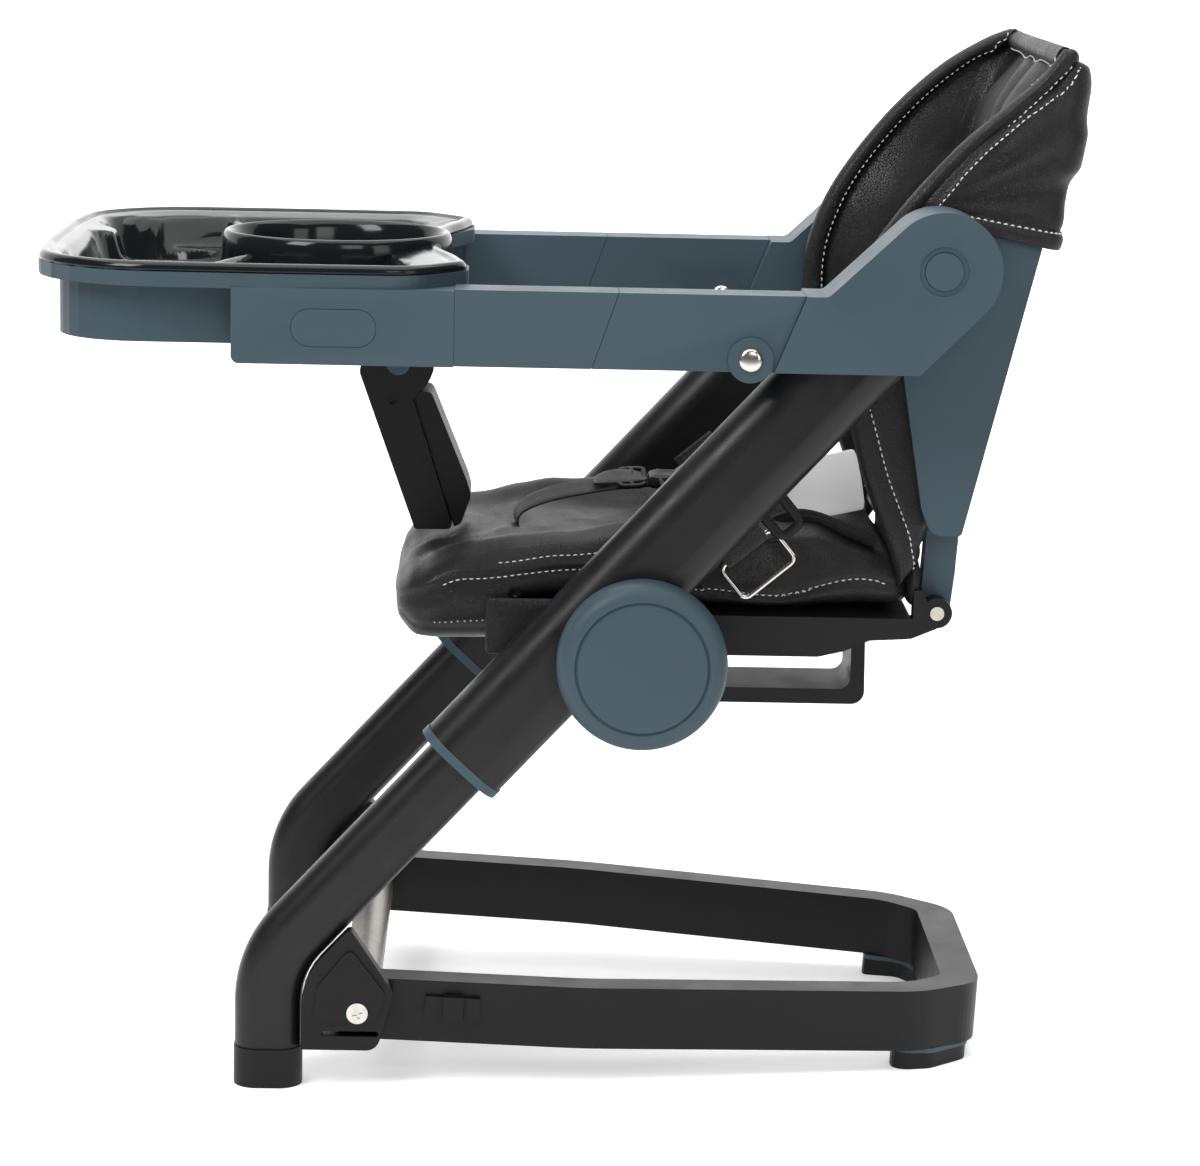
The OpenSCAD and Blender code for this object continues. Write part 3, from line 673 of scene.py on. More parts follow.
def top_line(drop, face_by):
    """A line along the liner's top rim, from the near side to the far one."""
    row = None
    mid = len(liner_grid[0]) // 2
    run = 0.0
    for i in range(len(liner_grid) - 1, 0, -1):
        run += (liner_grid[i][mid] - liner_grid[i - 1][mid]).length
        if run >= drop:
            row = i
            break
    cols = [j for j in range(len(liner_grid[0])) if abs(liner_grid[row][j].x) < 124]
    return [place(*(liner_grid[row][j] + liner_normal[row][j] * face_by)) for j in cols]


sewn_rows = [i for i, v in enumerate(liner_v) if 0.01 <= v <= 0.955]
for side_name, s in SIDES.items():
    for face_name, by in (("inner", 14), ("outer", -1)):
        line = edge_line([liner_data[i] for i in sewn_rows], [liner_normal[i] for i in sewn_rows],
                         s, 15.2, by)
        sewn_line(f"edge_stitch_{face_name}_{side_name}", line, liner, "back")
sewn_line("rim_stitch", top_line(15.5, 14), liner, "back")


# ---------------------------------------------------------------- hood cover over the shell's top
HOOD_NEAR = [(211, 578), (224, 596), (248, 622), (277, 647), (299, 665), (311, 679)]
HOOD_FAR = [(193, 582), (208, 605), (231, 632), (262, 659), (291, 676), (309, 682)]
HOOD_REAR = [(314, 556), (320.5, 585), (327, 616), (332, 644), (334, 664), (328, 683)]
HOOD_HALF = [(0, 145.2), (0.35, 144.6), (0.7, 142), (1, 139.5)]
HOOD_CORNER = [(0, 14), (0.35, 20), (0.75, 26), (1, 10)]
HOOD_STITCH = 16.5
HEM_MM = 12.5
HIDDEN_COLS = 5


def make_hood():
    levels = [0, 0.004, 0.012, 0.024, 0.04, 0.055, 0.07, 0.083, 0.093, 0.103, 0.113, 0.125,
              0.14, 0.16, 0.18] + [0.18 + 0.80 * i / 46 for i in range(1, 47)] + [0.988, 0.994, 1]
    data = [liner_path(v, HOOD_NEAR, HOOD_FAR, HOOD_REAR, HOOD_HALF, HOOD_CORNER) for v in levels]
    # the first columns lie under the liner's rolled edge
    cut = [row[HIDDEN_COLS:-HIDDEN_COLS] for row in data]
    width = len(cut[0])
    grid = [[spot for spot, _ in row] for row in cut]
    normals = liner_normals(grid)
    mid = width // 2
    run = [0.0]
    for i in range(1, len(grid)):
        run.append(run[-1] + (grid[i][mid] - grid[i - 1][mid]).length)
    tacks = {1: Vector((145, 236, 586)), -1: Vector((-145, 218, 588))}
    rings = []
    for i in range(len(grid)):
        outer, inner = [], []
        up, down = run[i], run[-1] - run[i]
        for j in range(width):
            spot, edge = cut[i][j]
            n = normals[i][j]
            side = 1 if spot.x > 0 else -1
            tuck = 5.5 * (1 - smooth_step((edge - 9) / 9))
            tuck += 3.4 * (1 - smooth_step((edge - 14) / 34))
            top_tuck = 7.5 * (1 - smooth_step(down / 11)) + 2.0 * (1 - smooth_step(down / 40))
            seam = 1.6 * math.exp(-((up - HEM_MM) / 1.8) ** 2)
            roll = 1.5 * math.sin(math.pi * min(1, up / HEM_MM)) ** 0.6
            ray = spot - tacks[side]
            angle = math.atan2(ray.z, ray.y)
            reach = ray.length
            fan = noise.noise(Vector((angle * 3.1 + side, reach * 0.004, 0.7))) * 5.0
            fan += noise.noise(Vector((angle * 7.0, reach * 0.006, 5.3))) * 2.2
            fan *= smooth_step(reach / 60) * (1 - smooth_step((reach - 120) / 60))
            fan *= smooth_step(up / 26)
            soft = noise.noise(spot * 0.014) * 1.6 + noise.noise(spot * 0.035) * 0.7
            out_by = -tuck - top_tuck - seam + (roll if up < HEM_MM else 0)
            out_by += min(1.6, fan + soft * smooth_step(up / 30)) if edge > 18 else 0
            end = 0.9 if i in (0, len(grid) - 1) else 0.0
            outer.append(place(*(spot - n * (out_by - end))))
            inner.append(place(*(spot - n * (out_by - 2.3 + end))))
        rings.append(outer + inner[::-1])
    obj = add_mesh("hood_cover", folded_skin(rings), "seat_leather")
    return obj, cut, normals, run


hood, hood_grid, hood_normal, hood_run = make_hood()
subdivide(hood)
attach(hood, "back")


def hood_hem_line(up):
    i = min(range(len(hood_run)), key=lambda k: abs(hood_run[k] - up))
    return [place(*(spot - hood_normal[i][j] * 2)) for j, (spot, edge) in enumerate(hood_grid[i])
            if edge > 19]


for side_name, s in SIDES.items():
    line = edge_line(hood_grid, hood_normal, s, HOOD_STITCH, -2)[3:-4]
    sewn_line(f"hood_stitch_{side_name}", line, hood, "back", width=0.5)
sewn_line("hem_stitch", hood_hem_line(HEM_MM + 1.2), hood, "back", width=0.55)


# ---------------------------------------------------------------- seat cushion
# along the seat: (y, height) of the top at the middle, the side seam, the bolsters, the bottom
CUSHION_TOP = [(-109, 333), (-100, 340), (-84, 346), (-60, 350), (-31, 353), (20, 352), (70, 350),
               (130, 350), (190, 352), (214, 346), (226, 336)]
CUSHION_SEAM = [(-109, 317), (-101, 320), (-65, 332), (13, 340), (50, 336), (91, 328), (135, 324),
                (194, 337), (226, 333)]
BOLSTER = [(-98, 0), (-70, 7), (-31, 11), (-2, 14), (55, 24), (120, 30), (160, 27), (196, 10),
           (224, 0)]
CUSHION_LOW = [(-109, 290), (-98, 284.5), (-80, 283), (-39, 283.5), (-34.5, 313.2), (226, 313.2)]
CUSHION_HALF = 127.0
FRONT_Y, REAR_Y = -111.0, 226.0


def cushion_ring(y, shrink=1.0, bulge=0.0):
    front, rear = y - FRONT_Y, REAR_Y - y
    corner, lip = 30.0, 15.0
    w = CUSHION_HALF
    if front < corner:
        w -= corner - math.sqrt(corner ** 2 - (corner - front) ** 2)
    if rear < 14:
        w -= 14 - math.sqrt(14 ** 2 - (14 - rear) ** 2)
    squeeze = 1.0
    if front < lip:
        squeeze = 0.5 + 0.5 * math.sqrt(1 - (1 - front / lip) ** 2)
    if rear < 10:
        squeeze = min(squeeze, 0.5 + 0.5 * math.sqrt(1 - (1 - rear / 10) ** 2))
    top, seam = graph(CUSHION_TOP, y), graph(CUSHION_SEAM, y)
    low, rise = graph(CUSHION_LOW, y), graph(BOLSTER, y)
    half = []
    for k in range(0, 31):
        a = math.radians(90 - 3 * k)
        x = w * abs(math.cos(a)) ** 0.60
        z = seam + (top - seam) * abs(math.sin(a)) ** 0.62
        swell = rise * smooth_step((x - 62) / 40) * smooth_step((w - x) / 12 + 0.08)
        half.append([x, z + swell * abs(math.sin(a)) ** 0.5])
    for k in range(1, 25):
        a = math.radians(3.75 * k)
        half.append([w * abs(math.cos(a)) ** 0.42, seam - (seam - low) * abs(math.sin(a)) ** 0.62])
    ring = [(x, z) for x, z in half] + [(-x, z) for x, z in half[-2:0:-1]]
    mid = 0.5 * (seam + 0.5 * (top + low))
    out = []
    for x, z in ring:
        groove = 2.6 * math.exp(-((z - seam) / 2.6) ** 2) * smooth_step((abs(x) - w * 0.8) / 8)
        line = low + 15 + 6 * smooth_step((y + 60) / 60)
        if y < -36:
            groove += 2.0 * math.exp(-((z - line) / 2.4) ** 2) * smooth_step((abs(x) - w * 0.8) / 8)
        edge = 1 - groove / max(w, 1)
        out.append([x * edge * (0.35 + 0.65 * shrink), y - bulge,
                    mid + (z - mid) * squeeze * shrink])
    return out


def cushion_relief(p):
    """Height added to the cushion's top: the slit's tuft, the post's dent, and soft folds."""
    x, y, z = p
    up = smooth_step((z - graph(CUSHION_SEAM, y) - 6) / 14)
    dent = 6.5 * math.exp(-(x / 34) ** 4 - ((y + 92) / 20) ** 4)
    tuft = 5.5 * math.exp(-(x / 24) ** 2 - ((y + 30) / 9) ** 2)
    ray = Vector((x, y + 30, 0))
    angle = math.atan2(ray.y, ray.x)
    folds = noise.noise(Vector((math.cos(angle) * 2.6, math.sin(angle) * 2.6, ray.length * 0.006)))
    folds *= 4.2 * smooth_step(ray.length / 40) * (1 - smooth_step((ray.length - 80) / 80))
    broad = noise.noise(Vector((x, y, 40)) * 0.013) * 3.0 + noise.noise(Vector((x, y, 9)) * 0.03)
    return up * (folds + broad - tuft) - dent


def make_cushion():
    ys = [FRONT_Y + d for d in (0, 0.6, 1.8, 3.6, 6, 9, 12, 15.5, 19, 23, 27)]
    ys += [FRONT_Y + 27 + i * 4.0 for i in range(1, 11)]
    ys += [-40.5, -39, -37.4, -36, -34.4, -32]
    ys += [-32 + i * 4.4 for i in range(1, 56)]
    ys += [REAR_Y - d for d in (11, 8, 5, 2.5, 0.8, 0)]
    ys = sorted(set(y for y in ys if y <= REAR_Y))
    rings = [cushion_ring(FRONT_Y, k, b) for k, b in ((0.15, 1.6), (0.5, 1.4), (0.8, 0.8))]
    rings += [cushion_ring(y) for y in ys]
    rings += [cushion_ring(REAR_Y, k) for k in (0.6, 0.2)]
    out = []
    for ring in rings:
        line = []
        for p in ring:
            side = noise.noise(Vector(p) * 0.02) * 1.4 * smooth_step((abs(p[0]) - 100) / 20)
            x = p[0] + math.copysign(min(0.8, side), p[0])
            line.append(place(x, p[1], p[2] + cushion_relief(p)))
        out.append(line)
    return add_mesh("seat_cushion", skin(out), "seat_leather")


cushion = make_cushion()
subdivide(cushion)
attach(cushion, "seat")
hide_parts("seat_pad")


SKIRT_X, SKIRT_Y, SKIRT_Z = (129.5, 138.6), (-52.0, 16.0), (284.0, 322.0)


def make_skirt(side_name, side):
    """The cushion's flap beside the seat base, tapering to the rear."""
    rings = []
    for i in range(25):
        t = i / 24
        y = SKIRT_Y[0] + (SKIRT_Y[1] - SKIRT_Y[0]) * t
        end = math.sin(math.pi * min(1, max(0.02, t) / 0.24, (1.02 - t) / 0.5) / 2) ** 0.6
        low = SKIRT_Z[0] + 26 * smooth_step((t - 0.35) / 0.65)
        mid, tall = 0.5 * (low + SKIRT_Z[1]), 0.5 * (SKIRT_Z[1] - low)
        centre, wide = 0.5 * sum(SKIRT_X), 0.5 * (SKIRT_X[1] - SKIRT_X[0])
        ring = []
        for k in range(20):
            a = math.tau * k / 20
            x = centre + wide * end * math.copysign(abs(math.cos(a)) ** 0.6, math.cos(a))
            z = mid + tall * math.copysign(abs(math.sin(a)) ** 0.8, math.sin(a))
            ring.append(place(side * (x + noise.noise(Vector((y, z, 3)) * 0.05)), y, z))
        rings.append(ring)
    flap = add_mesh(f"cushion_flap_{side_name}", skin(rings), "seat_leather")
    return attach(subdivide(flap), "seat")


for side_name, s in SIDES.items():
    make_skirt(side_name, s)


def cushion_side_line(side, table, low, high, by=1.0):
    return [place(side * (CUSHION_HALF + by), y, graph(table, y))
            for y in range(int(low), int(high), 3)]


for side_name, s in SIDES.items():
    sewn_line(f"seam_stitch_{side_name}", cushion_side_line(s, CUSHION_SEAM, -80, 214), cushion,
              "seat")
    low_line = [(-96, 299), (-70, 298.5), (-40, 303)]
    sewn_line(f"low_stitch_{side_name}", cushion_side_line(s, low_line, -86, -44), cushion, "seat",
              stitch=1.4, gap=2.6, width=0.4)
    top_row = [(-44, 343), (0, 349), (30, 352), (60, 352)]
    sewn_line(f"panel_stitch_{side_name}", cushion_side_line(s, top_row, -44, 62, -3), cushion,
              "seat")
sewn_line("front_stitch", [place(x, FRONT_Y - 2, 317.5) for x in range(-100, 101, 4)],
          cushion, "seat")


# fabric that joins the seat's cover to the back's, over the rear hinge
def make_gusset():
    half, centre_y, centre_z, thick, tall = 130.0, 229.5, 336.0, 5.5, 20.0
    rings = []
    for i in range(61):
        x = half * (2 * i / 60 - 1)
        end = max(0.06, 1 - (abs(x) / half) ** 14) ** 0.5
        ring = []
        for k in range(20):
            a = math.tau * k / 20
            fold = noise.noise(Vector((x * 0.03, a * 1.2, 2.0))) * 1.3
            ring.append(place(x, centre_y + (thick * math.cos(a) + fold) * end,
                              centre_z + tall * math.sin(a) * end))
        rings.append(ring)
    return subdivide(add_mesh("rear_gusset", skin(rings), "seat_leather"))


gusset = make_gusset()
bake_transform(gusset)


# ---------------------------------------------------------------- straps, rings and small fittings
def sweep(rows, frames, outline, name, slot, closed=False):
    """An outline of (across, up) millimetres carried along points with their frames."""
    rings = [[p + (a * u + b * v) * MM for u, v in outline] for p, (a, b) in zip(rows, frames)]
    if closed:
        rings.append(rings[0])
    return add_mesh(name, skin(rings, caps=not closed), slot)


def strap(name, table, body, width=20.0, thick=1.5, across=(1, 0, 0), lean=0.0, steps=90):
    """Webbing along a smooth line of (x, y, z) points, with a weave laid out in its UV map."""
    points = [place(*follow(table, i / steps)) for i in range(steps + 1)]
    frames, run = [], [0.0]
    for i, p in enumerate(points):
        ahead = (points[min(i + 1, steps)] - points[max(i - 1, 0)]).normalized()
        side = Vector(across).normalized()
        side = (side - ahead * side.dot(ahead)).normalized()
        tilt = lean * math.sin(math.pi * i / steps)
        side = Matrix.Rotation(tilt, 3, ahead) @ side
        frames.append((side, ahead.cross(side)))
        if i:
            run.append(run[-1] + (p - points[i - 1]).length)
    w, t = width / 2, thick / 2
    outline = [(-w, 0), (-w + t, -t), (-w / 2, -t), (0, -t * 0.9), (w / 2, -t), (w - t, -t), (w, 0),
               (w - t, t), (w / 2, t), (0, t * 0.9), (-w / 2, t), (-w + t, t)]
    obj = sweep(points, frames, outline, name, "webbing")
    layer = obj.data.uv_layers.new(name="weave")
    n = len(outline)
    for loop in obj.data.loops:
        ring, k = divmod(loop.vertex_index, n)
        layer.data[loop.index].uv = (outline[k][0] * MM, run[min(ring, steps)])
    if body:
        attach(obj, body)
    return obj


def rounded_loop(width, height, radius, step=8):
    """Points of a rounded rectangle's outline, centred, in millimetres."""
    out = []
    for cx, cy, start in ((1, 1, 0), (-1, 1, 90), (-1, -1, 180), (1, -1, 270)):
        for k in range(step + 1):
            a = math.radians(start + 90 * k / step)
            out.append((cx * (width / 2 - radius) + radius * math.cos(a),
                        cy * (height / 2 - radius) + radius * math.sin(a)))
    return out


def frame_bar(name, centre, u, w, width, height, radius, bar, slot, body, mid=False):
    """A closed rounded frame of round or flat bar, as a slider or a strap ring has."""
    u, w = Vector(u).normalized(), Vector(w).normalized()
    n = u.cross(w)
    loop = rounded_loop(width, height, radius)
    points = [place(*centre) + (u * a + w * b) * MM for a, b in loop]
    frames = []
    for i in range(len(points)):
        ahead = (points[(i + 1) % len(points)] - points[i - 1]).normalized()
        frames.append((ahead.cross(n), n))
    thick, deep = bar
    outline = [(thick / 2 * math.copysign(abs(math.cos(a)) ** 0.7, math.cos(a)),
                deep / 2 * math.copysign(abs(math.sin(a)) ** 0.7, math.sin(a)))
               for a in (k * math.tau / 12 for k in range(12))]
    obj = sweep(points, frames, outline, name, slot, closed=True)
    if mid:
        across = [place(*centre) + u * (x * MM) for x in
                  [(-width / 2) + width * k / 6 for k in range(7)]]
        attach(sweep(across, [(w, n)] * 7, outline, name + "_bar", slot), body)
    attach(obj, body)
    return obj


def lathe(name, centre, profile, slot, body, outward=1, count=64):
    """A turned piece on an axis along X: profile is (outward, radius) in millimetres."""
    rings = []
    for out, radius in profile:
        rings.append([place(centre[0] + outward * out,
                            centre[1] + radius * math.cos(math.tau * k / count),
                            centre[2] + radius * math.sin(math.tau * k / count))
                      for k in range(count)])
    obj = add_mesh(name, skin(rings), slot)
    shade_smooth(obj)
    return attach(obj, body)


HUB = (49.5, 291)
RIVET = (113, 489.6)
HUB_PROFILE = [(0, 52), (0.2, 54.6), (4, 55), (12, 55), (17, 54.2), (20, 52.6), (22.3, 50.2),
               (23.6, 47.4), (24.0, 45.0), (23.9, 43.6), (23.2, 43.1), (22.7, 42.7), (22.7, 42.3),
               (23.2, 41.9), (24.1, 41.4), (24.3, 40.6), (24.35, 39), (24.45, 24), (24.5, 8),
               (24.5, 1)]
RIVET_PROFILE = [(0, 6.4), (0.1, 7.2), (0.9, 7.4), (1.7, 6.9), (2.3, 5.9), (2.75, 4.4), (3.0, 2.6),
                 (3.1, 0.6)]

for side_name, s in SIDES.items():
    cap = lathe(f"hub_disc_{side_name}", (s * 185, *HUB), HUB_PROFILE, "blue_grey_plastic",
                "upper_frame", s, 128)
    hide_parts(f"hub_cap_{side_name}")
    head = lathe(f"rivet_outer_{side_name}", (s * 201.0, *RIVET), RIVET_PROFILE, "bright_metal",
                 "upper_frame", s)
    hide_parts(f"arm_rivet_{side_name}")
    lathe(f"rivet_inner_{side_name}", (s * 167.0, *RIVET), RIVET_PROFILE, "bright_metal",
          "upper_frame", -s)

ARM_END = (233, 548)
RING_PROFILE = [(0, 14.2), (0.35, 14.0), (0.5, 13.3), (0.4, 12.6), (0.1, 12.2)]
for side_name, s in SIDES.items():
    lathe(f"button_ring_{side_name}", (s * 199.9, *ARM_END), RING_PROFILE, "black_plastic",
          "upper_frame", s)

# crotch strap and the buckle with its two layers of webbing
crotch = strap("crotch_webbing", [(0, -31, 346), (0, -32.5, 354), (0, -27, 361.5), (0, -10, 369),
                                  (0, 14, 374.5), (0, 40, 378.2), (0, 64, 379.5), (0, 78, 379)],
               "seat", 22, 1.6, lean=0.32)
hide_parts("crotch_strap")
strap("crotch_return", [(0, 20, 378.6), (0, 30, 381.5), (0, 44, 382.5), (0, 56, 382)], "seat", 21,
      1.5, lean=0.30, steps=40)
buckle = frame_bar("crotch_slider", (0, 46, 381.5), (1, 0, -0.25), (0, 1, 0.06), 30, 17, 4.5,
                   (3.6, 3.4), "black_plastic", "seat", mid=True)
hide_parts("harness_buckle")
BUCKLE_PLATE = [(0, 13, 9), (0.6, 15.6, 11.6), (2.4, 16.8, 12.8), (5.6, 17, 13), (8.2, 16.2, 12.2),
                (9.4, 14, 10), (9.6, 10, 6.6), (8.9, 8, 4.8), (8.9, 3, 1.6)]
plate = [[place(p[0], p[1] + 70, 376 + high) for p in
          [(a, b, 0) for a, b in rounded_loop(2 * wide, 2 * deep, min(wide, deep) * 0.55)]]
         for high, wide, deep in BUCKLE_PLATE]
body_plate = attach(add_mesh("buckle_body", skin(plate), "black_plastic"), "seat")
shade_smooth(body_plate)

cushion_top = surface_of(cushion)


def resting(x, y, lift):
    """A point lift millimetres above the cushion at x, y."""
    hit = cushion_top.ray_cast(place(x, y, 460), Vector((0, 0, -1)))
    z = hit[0].z / MM if hit[0] else 350
    return (x, y, z + lift)


for side_name, s in SIDES.items():
    lap = strap(f"waist_webbing_{side_name}",
                [(s * 13, 68, 381), resting(s * 30, 82, 9), resting(s * 52, 104, 3),
                 resting(s * 76, 132, 2.0), resting(s * 92, 158, 2.0), resting(s * 101, 184, 2.0),
                 resting(s * 104, 204, 1.5)], "seat", 20, 1.5, across=(0.2 * s, -0.6, 0.75))
    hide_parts(f"waist_strap_{side_name}")
    route = [(s * 10, 76, 383), (s * 26, 92, 392), (s * 38, 122, 411), (s * 43, 158, 434),
             (s * 45, 196, 466), (s * 45, 222, 500), (s * 45, 244, 528)]
    chest = strap(f"shoulder_webbing_{side_name}", route, None, 20, 1.5)
    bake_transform(chest)
    strap_tail = strap(f"shoulder_tail_{side_name}",
                       [(s * 38, 118, 413), (s * 40, 132, 425), (s * 41, 138, 436),
                        (s * 40, 134, 446), (s * 39, 126, 446)], None, 19, 1.4, steps=30)
    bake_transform(strap_tail)

# lap strap with its ring and end fitting, on each side of the cushion
LEAN = math.radians(40)
LONG = Vector((0, math.cos(LEAN), math.sin(LEAN)))
SHORT = Vector((0, -math.sin(LEAN), math.cos(LEAN)))
for side_name, s in SIDES.items():
    centre = Vector((s * 133, 126, 347))

    def near_ring(x, along, up, c=centre, sign=s):
        p = c + Vector((sign * x, 0, 0)) + LONG * along + SHORT * up
        return tuple(p)

    ring = frame_bar(f"strap_ring_{side_name}", centre, LONG, SHORT, 43.4, 26.4, 5, (3.0, 3.0),
                     "bright_metal", "seat")
    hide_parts(f"lap_ring_{side_name}")
    loop = [near_ring(-2.3, -1, 50), near_ring(-2.6, -1, 36), near_ring(-2.8, 0, 22),
            near_ring(-2.6, 0, 14), near_ring(-1.2, 0, 10.6), near_ring(1.2, 0, 10.6),
            near_ring(2.6, 0, 14), near_ring(2.8, 0, 22), near_ring(2.5, -1, 36),
            near_ring(2.2, -1, 50)]
    web = strap(f"lap_webbing_{side_name}", loop, "seat", 33, 1.6, across=LONG, steps=110)
    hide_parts(f"lap_strap_{side_name}")
    frame_bar(f"strap_guide_{side_name}", near_ring(0.5, 31, 19), LONG, SHORT, 17, 30, 6, (7, 4.4),
              "black_plastic", "seat")


# blank care label, sewn to the cushion's rear
def make_label():
    wide, tall, n, m = 52.0, 42.0, 14, 12
    ahead = Vector((0, math.cos(0.20), math.sin(0.20)))
    up = Vector((0, -math.sin(0.20), math.cos(0.20)))
    rings = []
    for i in range(n + 1):
        a = i / n
        front, rear = [], []
        for j in range(m + 1):
            b = j / m
            curl = 2.2 * math.sin(3.4 * a + 0.8 * b) + 1.2 * b * b
            p = Vector((58 + curl, 152, 362)) + ahead * (wide * a) + up * (tall * b)
            front.append(place(*p))
            rear.append(place(p.x - 0.5, p.y, p.z))
        rings.append(front + rear[::-1])
    return subdivide(add_mesh("care_tag", skin(rings), "label_cloth"))


label = make_label()
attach(label, "seat")
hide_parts("care_label")


# ---------------------------------------------------------------- glossy tray insert with its bowl
# half outline of the tray's rim: x, y and corner radius
TRAY_OUTLINE = [(70, -348, 160), (196, -338, 84), (200, -190, 80), (198, -99, 40), (156, -66, 20),
                (114, -73, 160), (66, -85.5, 200)]
TRAY_CENTRE = Vector((0, -204.5))
HALF_DEPTH = 141
LIP_LOW, LIP_TOP, DECK_Z = 538.3, 544.0, 518.5
BOWL_AT = Vector((0, -157))
WELLS = [(-104, 82), (56, 220)]
WELL_Y, WELL_DEEP, WELL_FLOOR = -283, 74, 498.5
LIP_PROFILE = [(0, LIP_LOW), (0.25, 540.2), (0.9, 541.9), (2.0, 543.2), (3.6, 543.9),
               (5.2, LIP_TOP),
               (7.4, 543.7), (8.4, 542.2), (9.4, 542.0), (10.4, 542.3), (16, 541.6), (26, 539.9),
               (31, 539.2), (34, 538.3), (35.4, 536), (39, 524.5), (41, 520.4), (44, DECK_Z)]
BOWL_PROFILE = [(1, 507), (30, 507), (48, 507.2), (56, 508.6), (61, 511.6), (64.2, 516), (66, 522),
                (67.4, 532), (68.6, 539), (69.8, 543.8), (71.6, 546.8), (73.8, 548), (75.8, 547.2),
                (77.2, 544.6), (77.9, 540), (78.2, 532), (78.8, 525), (80.2, 520.6), (82.5, 518)]


def corner_arc(a, p, b, radius, steps=14):
    u, v = (a - p).normalized(), (b - p).normalized()
    half = 0.5 * u.angle(v)
    centre = p + (u + v).normalized() * radius / math.sin(half)
    start = p + u * radius / math.tan(half) - centre
    end = p + v * radius / math.tan(half) - centre
    turn = start.angle_signed(end)
    return [centre + Matrix.Rotation(-turn * i / steps, 2) @ start for i in range(steps + 1)]


def tray_rim(count=340):
    """Points evenly spaced round the rim's outer edge."""
    corners = TRAY_OUTLINE + [(-x, y, r) for x, y, r in TRAY_OUTLINE[::-1]]
    spots = [Vector(c[:2]) for c in corners]
    line = []
    for i, spot in enumerate(spots):
        line += corner_arc(spots[i - 1], spot, spots[(i + 1) % len(spots)], corners[i][2])
    line.append(line[0])
    run = [0.0]
    for a, b in zip(line, line[1:]):
        run.append(run[-1] + (b - a).length)
    out, k = [], 0
    for i in range(count):
        at = run[-1] * i / count
        while run[k + 1] < at:
            k += 1
        out.append(line[k].lerp(line[k + 1], (at - run[k]) / max(1e-9, run[k + 1] - run[k])))
    return out


def soft_low(a, b, k):
    h = max(k - abs(a - b), 0.0) / k
    return min(a, b) - h * h * k * 0.25


def soft_high(a, b, k):
    return -soft_low(-a, -b, k)


def segment_distance(p, a, b):
    t = max(0.0, min(1.0, (p - a).dot(b - a) / (b - a).length_squared))
    return (p - a.lerp(b, t)).length


def insert_height(p, inset):
    """Height of the insert's skin at p, which lies inset millimetres inside the rim."""
    height = DECK_Z
    for (d0, z0), (d1, z1) in zip(LIP_PROFILE, LIP_PROFILE[1:]):
        if d0 <= inset < d1:
            height = z0 + (z1 - z0) * (inset - d0) / (d1 - d0)
    if inset < 14:
        return height
    for x, wide in WELLS:
        q = Vector((abs(p.x - x) - wide / 2 + 36, abs(p.y - WELL_Y) - WELL_DEEP / 2 + 36))
        edge = Vector((max(q.x, 0), max(q.y, 0))).length + min(max(q.x, q.y), 0) - 36
        wall = soft_high(WELL_FLOOR, WELL_FLOOR + 3.4 * (edge + 6.5), 9)
        height = soft_low(height, wall, 4)
    for side in (1, -1):
        away = segment_distance(p, Vector((side * 72, -212)), Vector((side * 170, -240)))
        height = soft_high(height, soft_low(537.5, 537.5 - 3.0 * (away - 2.6), 4), 4)
    ring = (p - BOWL_AT).length
    return min(height, 506) if ring < 75 and inset > 8 else height


def make_insert():
    rim = tray_rim()
    tree = kdtree.KDTree(len(rim))
    for i, p in enumerate(rim):
        tree.insert((p.x, p.y, 0), i)
    tree.balance()
    insets = [0, 0.25, 0.6, 1.1, 1.8, 2.8, 4, 5.2, 6.4, 7.3, 7.9, 8.4, 9, 9.7, 10.6, 12, 14.5,
              17.5, 21, 24, 27, 30, 32, 33.2, 34, 34.7, 35.4, 36.3, 37.4, 38.5, 39.6, 41, 42.6,
              44, 46]
    shares = [d / HALF_DEPTH for d in insets]
    shares += [shares[-1] + (0.985 - shares[-1]) * i / 62 for i in range(1, 63)]
    rings = []
    for share in shares:
        ring = []
        for spot in rim:
            p = TRAY_CENTRE + (spot - TRAY_CENTRE) * (1 - share)
            _, k, _ = tree.find((p.x, p.y, 0))
            inset = min(segment_distance(p, rim[k], rim[k - 1]),
                        segment_distance(p, rim[k], rim[(k + 1) % len(rim)]))
            ring.append(place(p.x * 0.996, p.y, insert_height(p, inset)))
        rings.append(ring)
    verts, faces = skin(rings, caps=False)
    last = (len(rings) - 1) * len(rim)
    faces.append(tuple(last + j for j in range(len(rim))))
    obj = add_mesh("insert_skin", (verts, faces), "gloss_liner")
    wall = obj.modifiers.new("wall", "SOLIDIFY")
    wall.thickness = 0.6 * MM
    wall.offset = -1
    return obj


def make_bowl(count=120):
    rings = [[place(BOWL_AT.x + r * math.cos(math.tau * k / count),
                    BOWL_AT.y + r * math.sin(math.tau * k / count), z) for k in range(count)]
             for r, z in BOWL_PROFILE]
    verts, faces = skin(rings, caps=False)
    faces.append(tuple(range(count)))
    return subdivide(add_mesh("insert_bowl", (verts, faces), "gloss_liner"))


insert_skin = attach(make_insert(), "insert")
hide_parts("tray_insert")
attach(make_bowl(), "insert")


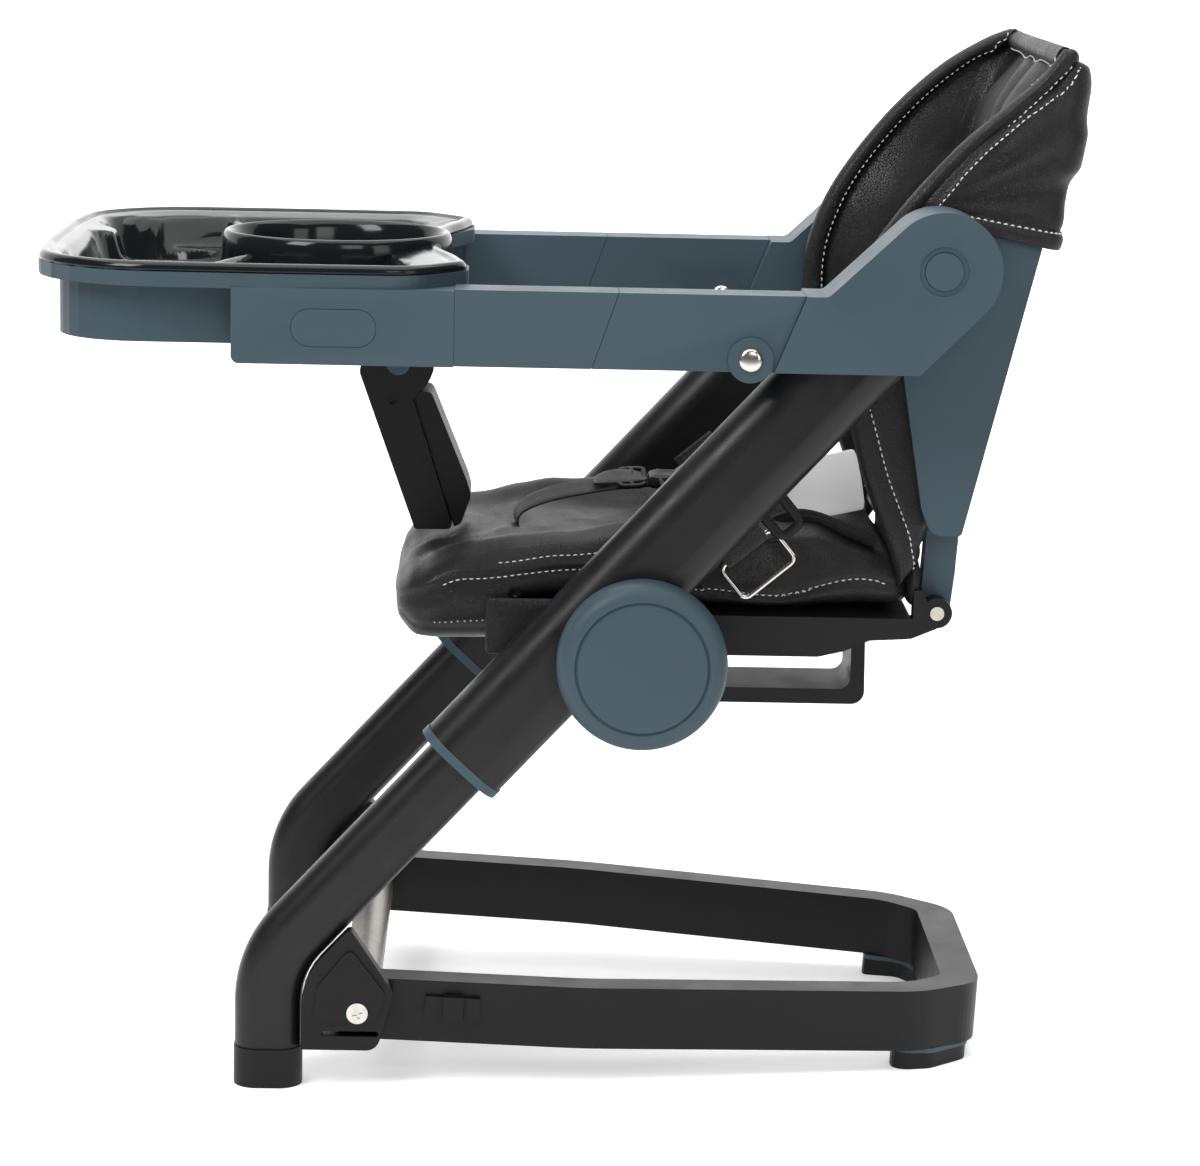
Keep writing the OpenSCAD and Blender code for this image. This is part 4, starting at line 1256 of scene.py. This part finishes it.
# ---------------------------------------------------------------- stage and light
def make_stage():
    floor = bpy.data.meshes.new("floor")
    half = 6.0
    floor.from_pydata([(-half, -half, 0), (half, -half, 0), (half, half, 0), (-half, half, 0)],
                      [], [(0, 1, 2, 3)])
    obj = bpy.data.objects.new("floor", floor)
    bpy.context.scene.collection.objects.link(obj)
    obj.data.materials.append(plain_stage("floor_white", (0.9, 0.9, 0.9), 0.7, 0.36, 0.32))
    wall = bpy.data.meshes.new("backdrop")
    back, bend, high = -3.0, 1.2, 4.5
    profile = [(back + bend, 0.002)]
    profile += [(back + bend - bend * math.sin(math.radians(a)),
                 bend - bend * math.cos(math.radians(a))) for a in range(10, 100, 10)]
    profile += [(back, high)]
    verts = [(x, y, z) for x, z in profile for y in (-half, half)]
    faces = [(i, i + 1, i + 3, i + 2) for i in range(0, len(verts) - 2, 2)]
    wall.from_pydata(verts, [], faces)
    wall.shade_smooth()
    backdrop = bpy.data.objects.new("backdrop", wall)
    bpy.context.scene.collection.objects.link(backdrop)
    wall.materials.append(plain_stage("backdrop_white", (0.9, 0.9, 0.9), 0.8, 0.75))


def area_light(name, at, aim, size, power, colour=(1, 1, 1)):
    data = bpy.data.lights.new(name, "AREA")
    data.shape = "RECTANGLE"
    data.size, data.size_y = size
    data.energy = power
    data.color = colour
    obj = bpy.data.objects.new(name, data)
    obj.location = at
    obj.rotation_euler = (Vector(aim) - Vector(at)).to_track_quat("-Z", "Y").to_euler()
    bpy.context.scene.collection.objects.link(obj)


def make_light():
    world = bpy.data.worlds.new("studio")
    world.use_nodes = True
    world.node_tree.nodes["Background"].inputs["Color"].default_value = (1, 1, 1, 1)
    world.node_tree.nodes["Background"].inputs["Strength"].default_value = 0.14
    bpy.context.scene.world = world
    area_light("top", (-0.1, 0.0, 2.6), (0, 0, 0), (3.2, 3.2), 88)
    area_light("key", (1.6, -1.5, 2.1), (0, 0, 0.4), (0.9, 1.2), 40)
    area_light("front", (2.6, 0.7, 1.7), (0, 0, 0.4), (1.0, 1.0), 12)
    area_light("side", (1.9, 1.9, 1.1), (0, 0.1, 0.4), (0.8, 1.4), 9)
    bpy.context.scene.view_settings.view_transform = "Standard"


make_stage()
make_light()
